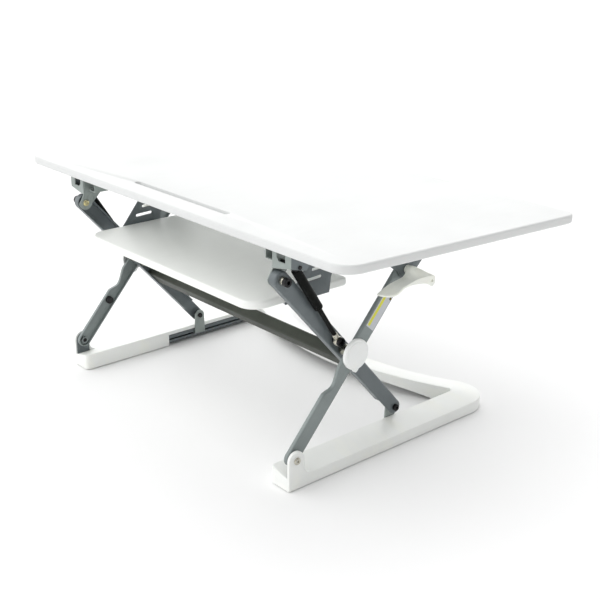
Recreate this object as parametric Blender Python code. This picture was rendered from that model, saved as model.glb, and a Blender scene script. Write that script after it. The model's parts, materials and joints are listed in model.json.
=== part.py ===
"""Standing desk converter: a desktop and a keyboard tray lifted by two scissor linkages on a U-shaped base.

Metres, +Z up, +X to the user's right, -Y towards the user. The origin is the centre of the footprint, on the
surface that the converter stands on. The model stands at its highest position.
"""
import math

import bmesh
import bpy
from mathutils import Matrix, Vector

# ---- desktop and tray ----
DESK_FRONT_WIDTH = 1.110
DESK_REAR_WIDTH = 1.205
DESK_DEPTH = 0.590
DESK_THICKNESS = 0.018
DESK_HEIGHT = 0.499
DESK_FRONT_Y = -0.306
DESK_FRONT_RADIUS = 0.045
DESK_REAR_RADIUS = 0.028
GROOVE_LENGTH = 0.330
GROOVE_WIDTH = 0.014
GROOVE_DEPTH = 0.008
GROOVE_Y = -0.252
TRAY_WIDTH = 0.600
TRAY_DEPTH = 0.250
TRAY_THICKNESS = 0.018
TRAY_BOTTOM = 0.343
TRAY_RADIUS = 0.040

# ---- scissor linkage (the same on both sides) ----
PIVOT_Y = -0.281
LOW_PIVOT_Z = 0.064
HIGH_PIVOT_Z = 0.420
REACH_Y = 0.314
ARM_END_RADIUS = 0.0165
SHEET = 0.003

# ---- layers of the right side, from the middle outwards ----
RAIL_TOP_IN = 0.306
RAIL_TOP_OUT = 0.328
BRACKET_IN = 0.3385
BRACKET_OUT = 0.3925
INNER_ARM_RIM = 0.344
INNER_ARM_WEB = 0.362
CARRIAGE_IN = 0.3448
CARRIAGE_SHEET = 0.0035
TONGUE_END = 0.3720
SPRING_X = 0.3727
OUTER_ARM_RIM = 0.3868
OUTER_ARM_WEB = 0.3960
LUG_IN = 0.3965
INNER_CHEEK = 0.3795
OUTER_CHEEK = 0.3975
HANDLE_IN = 0.4085
HANDLE_KNUCKLE = 0.4150
HANDLE_OUT = 0.4400
EAR_IN = 0.3998
FOOT_IN = 0.349
FOOT_OUT = 0.4065

# ---- base ----
FOOT_FRONT_Y = -0.3005
FOOT_INNER_HEIGHT = 0.040
FOOT_OUTER_HEIGHT = 0.027
COVER_BOTTOM = 0.002
COVER_SHEET = 0.0022
COVER_REAR_Y = 0.306
BAR_REAR_Y = 0.229
BAR_FRONT_Y = 0.157
BAR_BOW = 0.64
BAR_ARCH = 0.017
CORNER_RADIUS = 0.070
INNER_CORNER_RADIUS = 0.012
EAR_RADIUS = 0.0195
PAD_HEIGHT = 0.0077
BASE_RAIL_FLOOR = 0.008
TONGUE_LOW = 0.0155

# ---- gas spring ----
SPRING_GAP_TO_HUB = 0.034
SPRING_TOP = (0.0165, 0.0294)
CYLINDER_RADIUS = 0.0095
CYLINDER_LENGTH = 0.1205
ROD_RADIUS = 0.0048
ROD_LENGTH = 0.131

# ---- fasteners and clearances ----
GAP = 0.0003
BOLT_RADIUS = 0.005
PIN_RADIUS = 0.004
HUB_RADIUS = 0.008
ROUND_SEGMENTS = 28

LOW_PIVOT = (PIVOT_Y, LOW_PIVOT_Z)
HIGH_PIVOT = (PIVOT_Y, HIGH_PIVOT_Z)
LOW_CARRIAGE = (PIVOT_Y + REACH_Y, LOW_PIVOT_Z)
HIGH_CARRIAGE = (PIVOT_Y + REACH_Y, HIGH_PIVOT_Z)
HANDLE_PIVOT = (0.010, 0.390)
HUB = (PIVOT_Y + REACH_Y / 2, (LOW_PIVOT_Z + HIGH_PIVOT_Z) / 2)
ARM_LENGTH = math.hypot(REACH_Y, HIGH_PIVOT_Z - LOW_PIVOT_Z)
DESK_UNDERSIDE = DESK_HEIGHT - DESK_THICKNESS


# ---- geometry helpers: flat outlines are lists of (u, v) ----
def along(start, end, distance, offset=0.0):
    """The point at a distance from start towards end, moved sideways to the left by offset."""
    length = math.hypot(end[0] - start[0], end[1] - start[1])
    du = (end[0] - start[0]) / length
    dv = (end[1] - start[1]) / length
    return (start[0] + du * distance - dv * offset, start[1] + dv * distance + du * offset)


def arc(centre, radius, start_degrees, end_degrees, steps):
    """Points of an arc from one angle to another."""
    points = []
    for i in range(steps + 1):
        a = math.radians(start_degrees + (end_degrees - start_degrees) * i / steps)
        points.append((centre[0] + radius * math.cos(a), centre[1] + radius * math.sin(a)))
    return points


def circle(centre, radius, segments=ROUND_SEGMENTS):
    return arc(centre, radius, 0, 360, segments)[:-1]


def rounded(corners, steps=6):
    """A convex outline from (u, v, radius) corners, with an arc at each corner that has a radius."""
    points = []
    count = len(corners)
    for i, (u, v, radius) in enumerate(corners):
        here = Vector((u, v))
        before = (Vector(corners[i - 1][:2]) - here).normalized()
        after = (Vector(corners[(i + 1) % count][:2]) - here).normalized()
        if radius == 0:
            points.append((u, v))
            continue
        half = before.angle(after) / 2
        centre = here + (before + after).normalized() * (radius / math.sin(half))
        first = here + before * (radius / math.tan(half)) - centre
        last = here + after * (radius / math.tan(half)) - centre
        sweep = first.angle_signed(last)
        for k in range(steps + 1):
            turn = Matrix.Rotation(-sweep * k / steps, 2)
            points.append(tuple(centre + turn @ first))
    return points


def slot(start, end, half_width, steps=5):
    """A long hole with round ends."""
    angle = math.degrees(math.atan2(end[1] - start[1], end[0] - start[0]))
    return (arc(end, half_width, angle - 90, angle + 90, steps)
            + arc(start, half_width, angle + 90, angle + 270, steps))


def inset(outline, distance):
    """The outline moved inwards, for an anticlockwise outline without tight corners."""
    points = []
    count = len(outline)
    for i in range(count):
        before = (Vector(outline[i]) - Vector(outline[i - 1])).normalized()
        after = (Vector(outline[(i + 1) % count]) - Vector(outline[i])).normalized()
        normal = Vector((-before.y - after.y, before.x + after.x)).normalized()
        stretch = max(0.5, normal.dot(Vector((-before.y, before.x))))
        points.append(tuple(Vector(outline[i]) + normal * (distance / stretch)))
    return points


def to_space(axis, level, point):
    """A flat point set at a level of the axis that it is extruded along."""
    u, v = point
    return {"X": (level, u, v), "Y": (u, level, v), "Z": (u, v, level)}[axis]


def fill(bm, loops):
    """A flat face region bounded by the first loop, with the other loops as holes."""
    edges = []
    for loop in loops:
        for i in range(len(loop)):
            pair = (loop[i - 1], loop[i])
            edges.append(bm.edges.get(pair) or bm.edges.new(pair))
    bmesh.ops.triangle_fill(bm, use_beauty=True, edges=edges)


def walls(bm, lower, upper):
    for i in range(len(lower)):
        bm.faces.new((lower[i - 1], lower[i], upper[i], upper[i - 1]))


def plate(axis, low, high, outline, holes=()):
    """A flat piece between two levels of an axis, with holes through it."""
    bm = bmesh.new()
    rings = [[[bm.verts.new(to_space(axis, level, p)) for p in loop] for loop in (outline, *holes)]
             for level in (low, high)]
    for ring in rings:
        fill(bm, ring)
    for lower, upper in zip(*rings):
        walls(bm, lower, upper)
    bmesh.ops.recalc_face_normals(bm, faces=bm.faces)
    return bm


def pressed_arm(outline, holes, web_out, web_in, rim):
    """A channel pressed from sheet: a web with holes and a rim turned inwards along its whole edge."""
    bm = bmesh.new()
    pocket = inset(outline, SHEET)
    outer_web = [bm.verts.new(to_space("X", web_out, p)) for p in outline]
    outer_rim = [bm.verts.new(to_space("X", rim, p)) for p in outline]
    inner_rim = [bm.verts.new(to_space("X", rim, p)) for p in pocket]
    inner_web = [bm.verts.new(to_space("X", web_in, p)) for p in pocket]
    hole_out = [[bm.verts.new(to_space("X", web_out, p)) for p in hole] for hole in holes]
    hole_in = [[bm.verts.new(to_space("X", web_in, p)) for p in hole] for hole in holes]
    fill(bm, [outer_web, *hole_out])
    fill(bm, [inner_web, *hole_in])
    walls(bm, outer_web, outer_rim)
    walls(bm, outer_rim, inner_rim)
    walls(bm, inner_rim, inner_web)
    for outside, inside in zip(hole_out, hole_in):
        walls(bm, outside, inside)
    bmesh.ops.recalc_face_normals(bm, faces=bm.faces)
    return bm


def box(x0, x1, y0, y1, z0, z1):
    return plate("Z", z0, z1, [(x0, y0), (x1, y0), (x1, y1), (x0, y1)])


def turned(profile, centre, direction=(1, 0, 0), segments=ROUND_SEGMENTS):
    """A turned piece: profile is (distance along the axis, radius), the first and last on the axis."""
    bm = bmesh.new()
    aim = Vector((0, 0, 1)).rotation_difference(Vector(direction)).to_matrix()
    rings = []
    for distance, radius in profile:
        if radius == 0:
            rings.append([bm.verts.new(Vector(centre) + aim @ Vector((0, 0, distance)))])
            continue
        rings.append([bm.verts.new(Vector(centre) + aim @ Vector((u, v, distance)))
                      for u, v in circle((0, 0), radius, segments)])
    for near, far in zip(rings, rings[1:]):
        for i in range(segments):
            corners = (near[(i - 1) % len(near)], near[i % len(near)],
                       far[i % len(far)], far[(i - 1) % len(far)])
            bm.faces.new(dict.fromkeys(corners))
    bmesh.ops.recalc_face_normals(bm, faces=bm.faces)
    return bm


def pin(x0, x1, radius, centre, segments=ROUND_SEGMENTS):
    """A plain round pin along X between two levels."""
    return turned([(x0, 0), (x0, radius), (x1, radius), (x1, 0)], (0, *centre), (1, 0, 0), segments)


def combine(base, tool, operation):
    """Cuts the tool out of the base, or joins the two into one solid."""
    objects = []
    for bm in (base, tool):
        mesh = bpy.data.meshes.new("work")
        bm.to_mesh(mesh)
        bm.free()
        obj = bpy.data.objects.new("work", mesh)
        bpy.context.scene.collection.objects.link(obj)
        objects.append(obj)
    modifier = objects[0].modifiers.new("combine", "BOOLEAN")
    modifier.operation = operation
    modifier.solver = "EXACT"
    modifier.object = objects[1]
    bpy.context.view_layer.update()
    result = bmesh.new()
    result.from_object(objects[0], bpy.context.evaluated_depsgraph_get())
    for obj in objects:
        mesh = obj.data
        bpy.data.objects.remove(obj)
        bpy.data.meshes.remove(mesh)
    bmesh.ops.remove_doubles(result, verts=result.verts, dist=0.000005)
    bmesh.ops.dissolve_degenerate(result, dist=0.000005, edges=result.edges)
    return result


def cut(base, *tools):
    for tool in tools:
        base = combine(base, tool, "DIFFERENCE")
    return base


def join(base, *tools):
    for tool in tools:
        base = combine(base, tool, "UNION")
    return base


def mirrored(bm):
    """The same piece for the left side."""
    bmesh.ops.scale(bm, vec=(-1, 1, 1), verts=bm.verts)
    bmesh.ops.reverse_faces(bm, faces=bm.faces)
    return bm


# ---- scene helpers ----
def clear_scene():
    for obj in list(bpy.data.objects):
        bpy.data.objects.remove(obj)
    for mesh in list(bpy.data.meshes):
        bpy.data.meshes.remove(mesh)


def make_material(name, colour, roughness, metallic=0.0):
    material = bpy.data.materials.new(name)
    material.use_nodes = True
    shader = material.node_tree.nodes["Principled BSDF"]
    shader.inputs["Base Color"].default_value = (*colour, 1)
    shader.inputs["Roughness"].default_value = roughness
    shader.inputs["Metallic"].default_value = metallic
    material.diffuse_color = (*colour, 1)
    return material


def make_frame(name, point, parent=None):
    """An empty on a joint's axis, which carries the pieces of one moving body."""
    frame = bpy.data.objects.new(name, None)
    frame.empty_display_size = 0.03
    bpy.context.scene.collection.objects.link(frame)
    frame.parent = parent
    frame.location = Vector(point) - (world_place(parent) if parent else Vector())
    return frame


def world_place(obj):
    place = Vector(obj.location)
    while obj.parent:
        obj = obj.parent
        place += obj.location
    return place


def add(name, bm, material, frame):
    """Makes a named object that rides on a frame, with its origin where the frame is."""
    place = world_place(frame)
    bmesh.ops.translate(bm, vec=-place, verts=bm.verts)
    mesh = bpy.data.meshes.new(name)
    bm.to_mesh(mesh)
    bm.free()
    mesh.materials.append(material)
    mesh.shade_smooth()
    mesh.set_sharp_from_angle(angle=math.radians(32))
    obj = bpy.data.objects.new(name, mesh)
    bpy.context.scene.collection.objects.link(obj)
    obj.parent = frame
    return obj


# ---- outlines that several pieces share ----
def outer_arm_outline():
    """Outer arm: a long bar with round ends, and a dip in its front edge below the hub."""
    ends = (LOW_PIVOT, HIGH_CARRIAGE)
    half = ARM_END_RADIUS
    tilt = math.degrees(math.atan2(HIGH_PIVOT_Z - LOW_PIVOT_Z, REACH_Y))
    points = arc(LOW_PIVOT, half, tilt + 90, tilt + 270, 10)
    points += arc(HIGH_CARRIAGE, half, tilt - 90, tilt + 90, 10)
    dip_low, dip_deep, dip_high, dip_depth = 0.132, 0.160, 0.204, 0.0125
    steps = 14
    for i in range(steps + 1):
        distance = dip_high + (dip_low - dip_high) * i / steps
        if distance > dip_deep:
            share = (dip_high - distance) / (dip_high - dip_deep)
        else:
            share = (distance - dip_low) / (dip_deep - dip_low)
        smooth = share * share * (3 - 2 * share)
        points.append(along(*ends, distance, half - dip_depth * smooth))
    return points


def inner_arm_outline():
    """Inner arm: a straight bar with a wide round top end."""
    half = ARM_END_RADIUS
    tilt = math.degrees(math.atan2(LOW_PIVOT_Z - HIGH_PIVOT_Z, REACH_Y))
    return (arc(HIGH_PIVOT, half + 0.001, tilt + 90, tilt + 270, 12)
            + arc(LOW_CARRIAGE, half - 0.001, tilt - 90, tilt + 90, 10))


def bar_edges(x):
    """The front and rear edges of the bowed rear bar at a distance from the middle."""
    return (BAR_FRONT_Y + BAR_BOW * x * x, BAR_REAR_Y + BAR_BOW * x * x)


def cover_sections():
    """Pairs of outer and inner points along the right half cover."""
    outer_corner = (FOOT_OUT - CORNER_RADIUS, COVER_REAR_Y - CORNER_RADIUS)
    inner_corner = (FOOT_IN - INNER_CORNER_RADIUS, bar_edges(FOOT_IN)[0] - INNER_CORNER_RADIUS)
    pairs = [((FOOT_OUT, y), (FOOT_IN, y)) for y in (FOOT_FRONT_Y, 0.0, inner_corner[1] - 0.005)]
    turn = 8
    pairs += zip(arc(outer_corner, CORNER_RADIUS, 0, 112, turn),
                 arc(inner_corner, INNER_CORNER_RADIUS, 0, 66, turn))
    # The rear and front edges leave their corners' arcs and run into the bar's bow.
    (rear_x, rear_y), (front_x, front_y) = pairs[-1]
    rear_lift, front_lift = rear_y - bar_edges(rear_x)[1], front_y - bar_edges(front_x)[0]
    steps = 10
    for i in range(1, steps + 1):
        done = i / steps
        at_rear, at_front = (x * (1 - done) + GAP / 2 * done for x in (rear_x, front_x))
        pairs.append(((at_rear, bar_edges(at_rear)[1] + rear_lift * (at_rear / rear_x) ** 4),
                      (at_front, bar_edges(at_front)[0] + front_lift * (at_front / front_x) ** 4)))
    return pairs


def bottom_height(x):
    """The covers' lower edge rises in an arch under the rear bar."""
    share = min(1.0, abs(x) / 0.320)
    return COVER_BOTTOM + BAR_ARCH * (1 - share ** 4)


def cover_solid(margin, drop):
    """A solid that follows the base: the full cover, or its hollow when it has a margin."""
    bm = bmesh.new()
    rings = []
    for outer, inner in cover_sections():
        outward = (Vector(outer) - Vector(inner)).normalized()
        out_point = Vector(outer) - outward * margin
        in_point = Vector(inner) + outward * margin
        low = -drop if drop else bottom_height(inner[0]) if inner[1] > 0.1 else COVER_BOTTOM
        rings.append([bm.verts.new((*out_point, low)),
                      bm.verts.new((*out_point, FOOT_OUTER_HEIGHT - margin)),
                      bm.verts.new((*in_point, FOOT_INNER_HEIGHT - margin)),
                      bm.verts.new((*in_point, low))])
    if margin:
        for vert in rings[0]:
            vert.co.y += COVER_SHEET
        for vert in rings[-1]:
            vert.co.x -= 0.01
    for near, far in zip(rings, rings[1:]):
        walls(bm, near, far)
    bm.faces.new(rings[0])
    bm.faces.new(rings[-1])
    bmesh.ops.recalc_face_normals(bm, faces=bm.faces)
    return bm


# ---- base ----
def base_cover():
    """White moulded cover of one foot and half of the rear bar, open underneath."""
    shell = cut(cover_solid(0, 0), cover_solid(COVER_SHEET, 0.01))
    u, v = LOW_PIVOT
    rear = u + EAR_RADIUS
    ear = [(u - EAR_RADIUS, 0.012), (rear + 0.014, 0.012), (rear + 0.014, 0.028)]
    ear += arc((rear + 0.014, v - 0.020), 0.014, 270, 180, 6)[1:]
    ear += arc(LOW_PIVOT, EAR_RADIUS, 0, 180, 14)
    shell = join(shell, plate("X", EAR_IN, FOOT_OUT + GAP, ear))
    bolt_hole = pin(EAR_IN - 0.002, FOOT_OUT + 0.002, BOLT_RADIUS + GAP, LOW_PIVOT)
    lug_slot = box(LUG_IN - GAP, EAR_IN, FOOT_FRONT_Y + COVER_SHEET + GAP, u + 0.0175, 0.006, 0.06)
    rail_window = box(FOOT_IN - 0.0035, FOOT_IN + COVER_SHEET + 0.0002, -0.062, 0.2115, -0.01, 0.031)
    return cut(shell, bolt_hole, lug_slot, rail_window)


def base_rail():
    """Steel channel under the cover: it guides the lower carriage and carries the front pivot lug."""
    wall, lip = 0.002, 0.0035
    x0, x1 = FOOT_IN + COVER_SHEET + GAP, 0.380
    floor, roof = BASE_RAIL_FLOOR, 0.029
    section = [(x0, floor), (x1, floor), (x1, roof), (x0, roof), (x0, roof - wall - lip),
               (x0 + wall, roof - wall - lip), (x0 + wall, roof - wall), (x1 - wall, roof - wall),
               (x1 - wall, floor + wall), (x0 + wall, floor + wall), (x0 + wall, floor + wall + lip),
               (x0, floor + wall + lip)]
    u, v = LOW_PIVOT
    front = FOOT_FRONT_Y + COVER_SHEET + 2 * GAP
    lug = [(front, floor), (u + 0.016, floor)] + arc(LOW_PIVOT, 0.016, 0, 180, 10) + [(front, v)]
    lug_plate = plate("X", LUG_IN, LUG_IN + SHEET, lug, [circle(LOW_PIVOT, BOLT_RADIUS + GAP)])
    sole = box(x1 - 0.001, LUG_IN + SHEET / 2, front + 0.001, u + 0.015, floor, floor + SHEET)
    return join(plate("Y", -0.292, 0.252, section), sole, lug_plate)


def base_crossbar():
    """Flat steel tube bowed inside the rear bar, between the two base rails."""
    bm = bmesh.new()
    reach, steps, half_depth = FOOT_IN - 0.002, 20, 0.014
    low, high = BAR_ARCH + 0.0035, 0.0270
    rings = []
    for i in range(steps + 1):
        x = -reach + 2 * reach * i / steps
        middle = sum(bar_edges(min(abs(x), 0.30))) / 2
        corners = [(-half_depth, low), (half_depth, low), (half_depth, high), (-half_depth, high)]
        rings.append([bm.verts.new((x, middle + y, z)) for y, z in corners])
    for near, far in zip(rings, rings[1:]):
        walls(bm, near, far)
    bm.faces.new(rings[0])
    bm.faces.new(rings[-1])
    bmesh.ops.recalc_face_normals(bm, faces=bm.faces)
    return bm


def foot_pad(y):
    profile = [(0, 0), (0, 0.0105), (0.0015, 0.012), (PAD_HEIGHT, 0.012), (PAD_HEIGHT, 0)]
    return turned(profile, (0.366, y, 0), (0, 0, 1))


def front_bolt():
    """Bright bolt through the ear, the lug and the outer arm."""
    head = FOOT_OUT + 2 * GAP
    profile = [(0.3875, 0), (0.3875, BOLT_RADIUS), (head, BOLT_RADIUS), (head, 0.0075),
               (head + 0.0025, 0.0075), (head + 0.0035, 0.0060), (head + 0.0035, 0)]
    return turned(profile, (0, *LOW_PIVOT))


def front_nut():
    web_in = OUTER_ARM_WEB - SHEET
    return plate("X", 0.3865, web_in - GAP, circle(LOW_PIVOT, 0.0088, 6),
                 [circle(LOW_PIVOT, BOLT_RADIUS + GAP, 18)])


# ---- outer arm and what rides on it ----
def outer_arm():
    holes = [circle(LOW_PIVOT, BOLT_RADIUS + GAP), circle(HUB, HUB_RADIUS + GAP),
             circle(HIGH_CARRIAGE, BOLT_RADIUS + GAP)]
    return pressed_arm(outer_arm_outline(), holes, OUTER_ARM_WEB, OUTER_ARM_WEB - SHEET, OUTER_ARM_RIM)


def arm_bumper():
    """Rubber stop inside the outer arm, which the folded linkage rests on."""
    top = OUTER_ARM_WEB - SHEET - GAP
    profile = [(0.3842, 0), (0.3842, 0.0075), (0.3860, 0.0090), (top, 0.0090), (top, 0)]
    return turned(profile, (0, *along(LOW_PIVOT, HIGH_CARRIAGE, 0.1145)))


def hub_cap():
    """Domed plastic cap over the middle pivot, with a small pointed tab at its lower edge."""
    back, radius, wall = OUTER_ARM_WEB + GAP, 0.032, 0.0025
    profile = [(back + 0.0065, 0), (back + 0.0065, radius - 0.006), (back + 0.004, radius - wall),
               (back, radius - wall), (back, radius), (back + 0.0055, radius),
               (back + 0.0085, radius - 0.003), (back + 0.0100, radius - 0.010), (back + 0.0105, 0)]
    cap = turned(profile, (0, *HUB), (1, 0, 0), 40)
    u, v = HUB
    tab = [(u - 0.008, v - radius + 0.002), (u, v - radius - 0.006), (u + 0.008, v - radius + 0.002)]
    return join(cap, plate("X", back, back + 0.004, tab))


def high_pin():
    """Pin of the outer arm's top end, through both cheeks of the upper carriage."""
    head = OUTER_CHEEK + SHEET + GAP
    profile = [(0.3765, 0), (0.3765, BOLT_RADIUS), (head, BOLT_RADIUS), (head, 0.008),
               (head + 0.003, 0.008), (head + 0.003, 0)]
    return turned(profile, (0, *HIGH_CARRIAGE))


# ---- release handle ----
HANDLE_SECTION = (
    # (y, z) from the pivot at the knuckle, then at the outer edge
    ((-0.0900, -0.0330), (-0.0760, -0.0335)), ((-0.0750, -0.0295), (-0.0640, -0.0300)),
    ((-0.0560, -0.0230), (-0.0510, -0.0235)), ((-0.0360, -0.0195), (-0.0390, -0.0200)),
    ((-0.0150, -0.0180), (-0.0230, -0.0190)), ((0.0000, -0.0170), (-0.0030, -0.0212)),
    ((0.0080, -0.0165), (0.0120, -0.0237)), ((0.0140, -0.0150), (0.0240, -0.0285)),
    ((0.0180, -0.0120), (0.0320, -0.0335)), ((0.0200, -0.0080), (0.0400, -0.0310)),
    ((0.0195, -0.0030), (0.0430, -0.0220)), ((0.0150, 0.0025), (0.0400, -0.0130)),
    ((0.0080, 0.0070), (0.0300, -0.0105)), ((0.0000, 0.0090), (0.0110, -0.0088)),
    ((-0.0070, 0.0065), (-0.0010, -0.0086)), ((-0.0120, -0.0020), (-0.0120, -0.0097)),
    ((-0.0200, -0.0095), (-0.0230, -0.0118)), ((-0.0360, -0.0128), (-0.0370, -0.0145)),
    ((-0.0550, -0.0160), (-0.0510, -0.0180)), ((-0.0740, -0.0225), (-0.0620, -0.0237)),
    ((-0.0900, -0.0290), (-0.0760, -0.0293)))


def release_handle():
    """Squeeze lever on the upper carriage: a broad thin paddle with a knuckle and a hooked tail."""
    u, v = HANDLE_PIVOT
    bm = bmesh.new()
    rings = []
    for x, side in ((HANDLE_IN, 0), (HANDLE_KNUCKLE, 0), (HANDLE_OUT, 1)):
        rings.append([bm.verts.new((x, u + pair[side][0], v + pair[side][1])) for pair in HANDLE_SECTION])
    for near, far in zip(rings, rings[1:]):
        walls(bm, near, far)
    fill(bm, [rings[0]])
    fill(bm, [rings[-1]])
    bmesh.ops.triangulate(bm, faces=bm.faces)
    bmesh.ops.recalc_face_normals(bm, faces=bm.faces)
    boss = pin(OUTER_CHEEK + SHEET + GAP, HANDLE_IN + 0.002, 0.0088, HANDLE_PIVOT)
    stud_hole = pin(OUTER_CHEEK, HANDLE_KNUCKLE + 0.0040, PIN_RADIUS + GAP, HANDLE_PIVOT)
    tail_hole = pin(HANDLE_OUT - 0.010, HANDLE_OUT + 0.01, 0.0032, (u + 0.0330, v - 0.0220), 16)
    return cut(join(bm, boss), stud_hole, tail_hole)


def handle_screw():
    """Stud that the handle turns on, fixed in the carriage's outer cheek."""
    end = HANDLE_KNUCKLE + 0.0035
    return turned([(OUTER_CHEEK, 0), (OUTER_CHEEK, PIN_RADIUS), (end - 0.001, PIN_RADIUS),
                   (end, PIN_RADIUS - 0.001), (end, 0)], (0, *HANDLE_PIVOT))


# ---- inner arm and what rides on it ----
def spring_low_pivot():
    return along(HUB, HIGH_PIVOT, SPRING_GAP_TO_HUB)


def spring_high_pivot():
    return (HIGH_PIVOT[0] + SPRING_TOP[0], HIGH_PIVOT[1] + SPRING_TOP[1])


def inner_arm():
    """Inner arm: a channel down to the lower carriage, where only its flat web goes on."""
    holes = [circle(HIGH_PIVOT, BOLT_RADIUS + GAP), circle(spring_low_pivot(), PIN_RADIUS + GAP),
             circle(HUB, HUB_RADIUS + GAP), circle(LOW_CARRIAGE, PIN_RADIUS + GAP)]
    web_in = INNER_ARM_WEB - SHEET
    arm = pressed_arm(inner_arm_outline(), holes, INNER_ARM_WEB, web_in, INNER_ARM_RIM)
    ends = (HIGH_PIVOT, LOW_CARRIAGE)
    flat_end = [along(*ends, s, t) for s, t in ((0.425, -0.03), (0.53, -0.03), (0.53, 0.03), (0.425, 0.03))]
    return cut(arm, plate("X", INNER_ARM_RIM - 0.002, web_in - 0.0001, flat_end))


def crossbeam():
    """Rectangular steel tube between the inner arms, in line with them, just below the hubs."""
    ends = (HUB, LOW_CARRIAGE)
    distance, half_wide, half_thick, wall = 0.052, 0.0190, 0.0130, 0.002
    reach = INNER_ARM_WEB - SHEET - GAP

    def section(shrink):
        w, t = half_wide - shrink, half_thick - shrink
        return [along(*ends, distance + a, b) for a, b in ((-w, -t), (w, -t), (w, t), (-w, t))]

    return plate("X", -reach, reach, section(0), [section(wall)])


def hub_pin():
    """Turned shaft of the middle pivot, with a shoulder between the arms."""
    profile = [(0.3520, 0), (0.3520, 0.0110), (INNER_ARM_WEB - SHEET - GAP, 0.0110),
               (INNER_ARM_WEB - SHEET - GAP, HUB_RADIUS), (INNER_ARM_WEB + GAP, HUB_RADIUS),
               (INNER_ARM_WEB + GAP, 0.0120), (OUTER_ARM_WEB - SHEET - GAP, 0.0120),
               (OUTER_ARM_WEB - SHEET - GAP, HUB_RADIUS), (0.4000, HUB_RADIUS), (0.4000, 0)]
    return turned(profile, (0, *HUB))


def low_pin():
    """Pin of the inner arm's lower end, through the lower carriage."""
    inside, head = CARRIAGE_IN - GAP, INNER_ARM_WEB + GAP
    spacer_in, spacer_out = CARRIAGE_IN + CARRIAGE_SHEET + GAP, INNER_ARM_WEB - SHEET - GAP
    profile = [(inside - 0.0040, 0), (inside - 0.0040, 0.0060), (inside, 0.0060), (inside, PIN_RADIUS),
               (spacer_in, PIN_RADIUS), (spacer_in, 0.0070), (spacer_out, 0.0070), (spacer_out, PIN_RADIUS),
               (head, PIN_RADIUS), (head, 0.0075), (head + 0.0060, 0.0075), (head + 0.0060, 0)]
    return turned(profile, (0, *LOW_CARRIAGE))


def spring_bolt():
    """Bolt on the inner arm that the gas spring's rod is hooked on."""
    eye = 0.0050
    profile = [(0.3565, 0), (0.3565, 0.0068), (INNER_ARM_WEB - SHEET - GAP, 0.0068),
               (INNER_ARM_WEB - SHEET - GAP, PIN_RADIUS), (INNER_ARM_WEB + GAP, PIN_RADIUS),
               (INNER_ARM_WEB + GAP, 0.0075), (SPRING_X - eye - GAP, 0.0075),
               (SPRING_X - eye - GAP, PIN_RADIUS), (SPRING_X + eye + GAP, PIN_RADIUS),
               (SPRING_X + eye + GAP, 0.0098), (0.3828, 0.0098), (0.3828, 0)]
    return turned(profile, (0, *spring_low_pivot()))


# ---- carriages ----
def low_carriage():
    """Bent steel bracket beside the foot that hangs the inner arm on the base rail."""
    u, v = LOW_CARRIAGE
    half, low = 0.0155, TONGUE_LOW
    outline = [(u - half, low), (u + half, low)] + arc((u, v), 0.0135, -10, 190, 12)
    upright = plate("X", CARRIAGE_IN, CARRIAGE_IN + CARRIAGE_SHEET, outline,
                    [circle((u, v), PIN_RADIUS + GAP)])
    return join(upright, box(CARRIAGE_IN + 0.001, TONGUE_END, u - half, u + half, low, low + CARRIAGE_SHEET))


def low_glide():
    """Nylon block that slides in the base rail, slotted for the carriage's tongue."""
    u = LOW_CARRIAGE[0]
    low, high = BASE_RAIL_FLOOR + 0.0023, BASE_RAIL_FLOOR + 0.0187
    slot_low, slot_high = TONGUE_LOW - GAP, TONGUE_LOW + CARRIAGE_SHEET + GAP
    x0, x1 = 0.3539, 0.3775
    section = [(x0, low), (x1, low), (x1, high), (x0, high), (x0, slot_high), (TONGUE_END + GAP, slot_high),
               (TONGUE_END + GAP, slot_low), (x0, slot_low)]
    return plate("Y", u - 0.024, u + 0.024, section)


def high_carriage():
    """Fork on the outer arm's top end, with a shelf that reaches into the top rail."""
    u, v = HIGH_CARRIAGE
    top = v + 0.0455
    outer = [(u - 0.0370, v - 0.0470), (u - 0.0060, v - 0.0470), (u + 0.0020, v - 0.0370),
             (u + 0.0230, v - 0.0170), (u + 0.0230, top), (u - 0.0680, top), (u - 0.0680, v - 0.0170),
             (u - 0.0460, v - 0.0330)]
    inner = [(u - 0.020, v - 0.0180), (u + 0.020, v - 0.0180), (u + 0.028, top), (u - 0.028, top)]
    pivot_hole = circle(HIGH_CARRIAGE, BOLT_RADIUS + GAP)
    outer_cheek = plate("X", OUTER_CHEEK, OUTER_CHEEK + SHEET, outer,
                        [pivot_hole, circle(HANDLE_PIVOT, PIN_RADIUS + GAP)])
    inner_cheek = plate("X", INNER_CHEEK, INNER_CHEEK + SHEET, inner, [pivot_hole])
    shelf = box(0.3125, OUTER_CHEEK + SHEET / 2, u - 0.028, u + 0.028, top - 0.004, top)
    return join(outer_cheek, shelf, inner_cheek)


def high_glide():
    """Nylon block in the top rail, slotted for the carriage's shelf."""
    u, v = HIGH_CARRIAGE
    low, high = v + 0.0315, v + 0.0585
    shelf_low, shelf_high = v + 0.0415 - GAP, v + 0.0455 + GAP
    section = [(RAIL_TOP_IN + 0.0025, low), (RAIL_TOP_OUT - 0.0025, low), (RAIL_TOP_OUT - 0.0025, shelf_low),
               (0.3120, shelf_low), (0.3120, shelf_high), (RAIL_TOP_OUT - 0.0025, shelf_high),
               (RAIL_TOP_OUT - 0.0025, high), (RAIL_TOP_IN + 0.0025, high)]
    return plate("Y", u - 0.026, u + 0.026, section)


# ---- gas spring ----
def spring_direction():
    low, high = Vector(spring_low_pivot()), Vector(spring_high_pivot())
    aim = (high - low).normalized()
    return (0, aim.x, aim.y)


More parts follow.
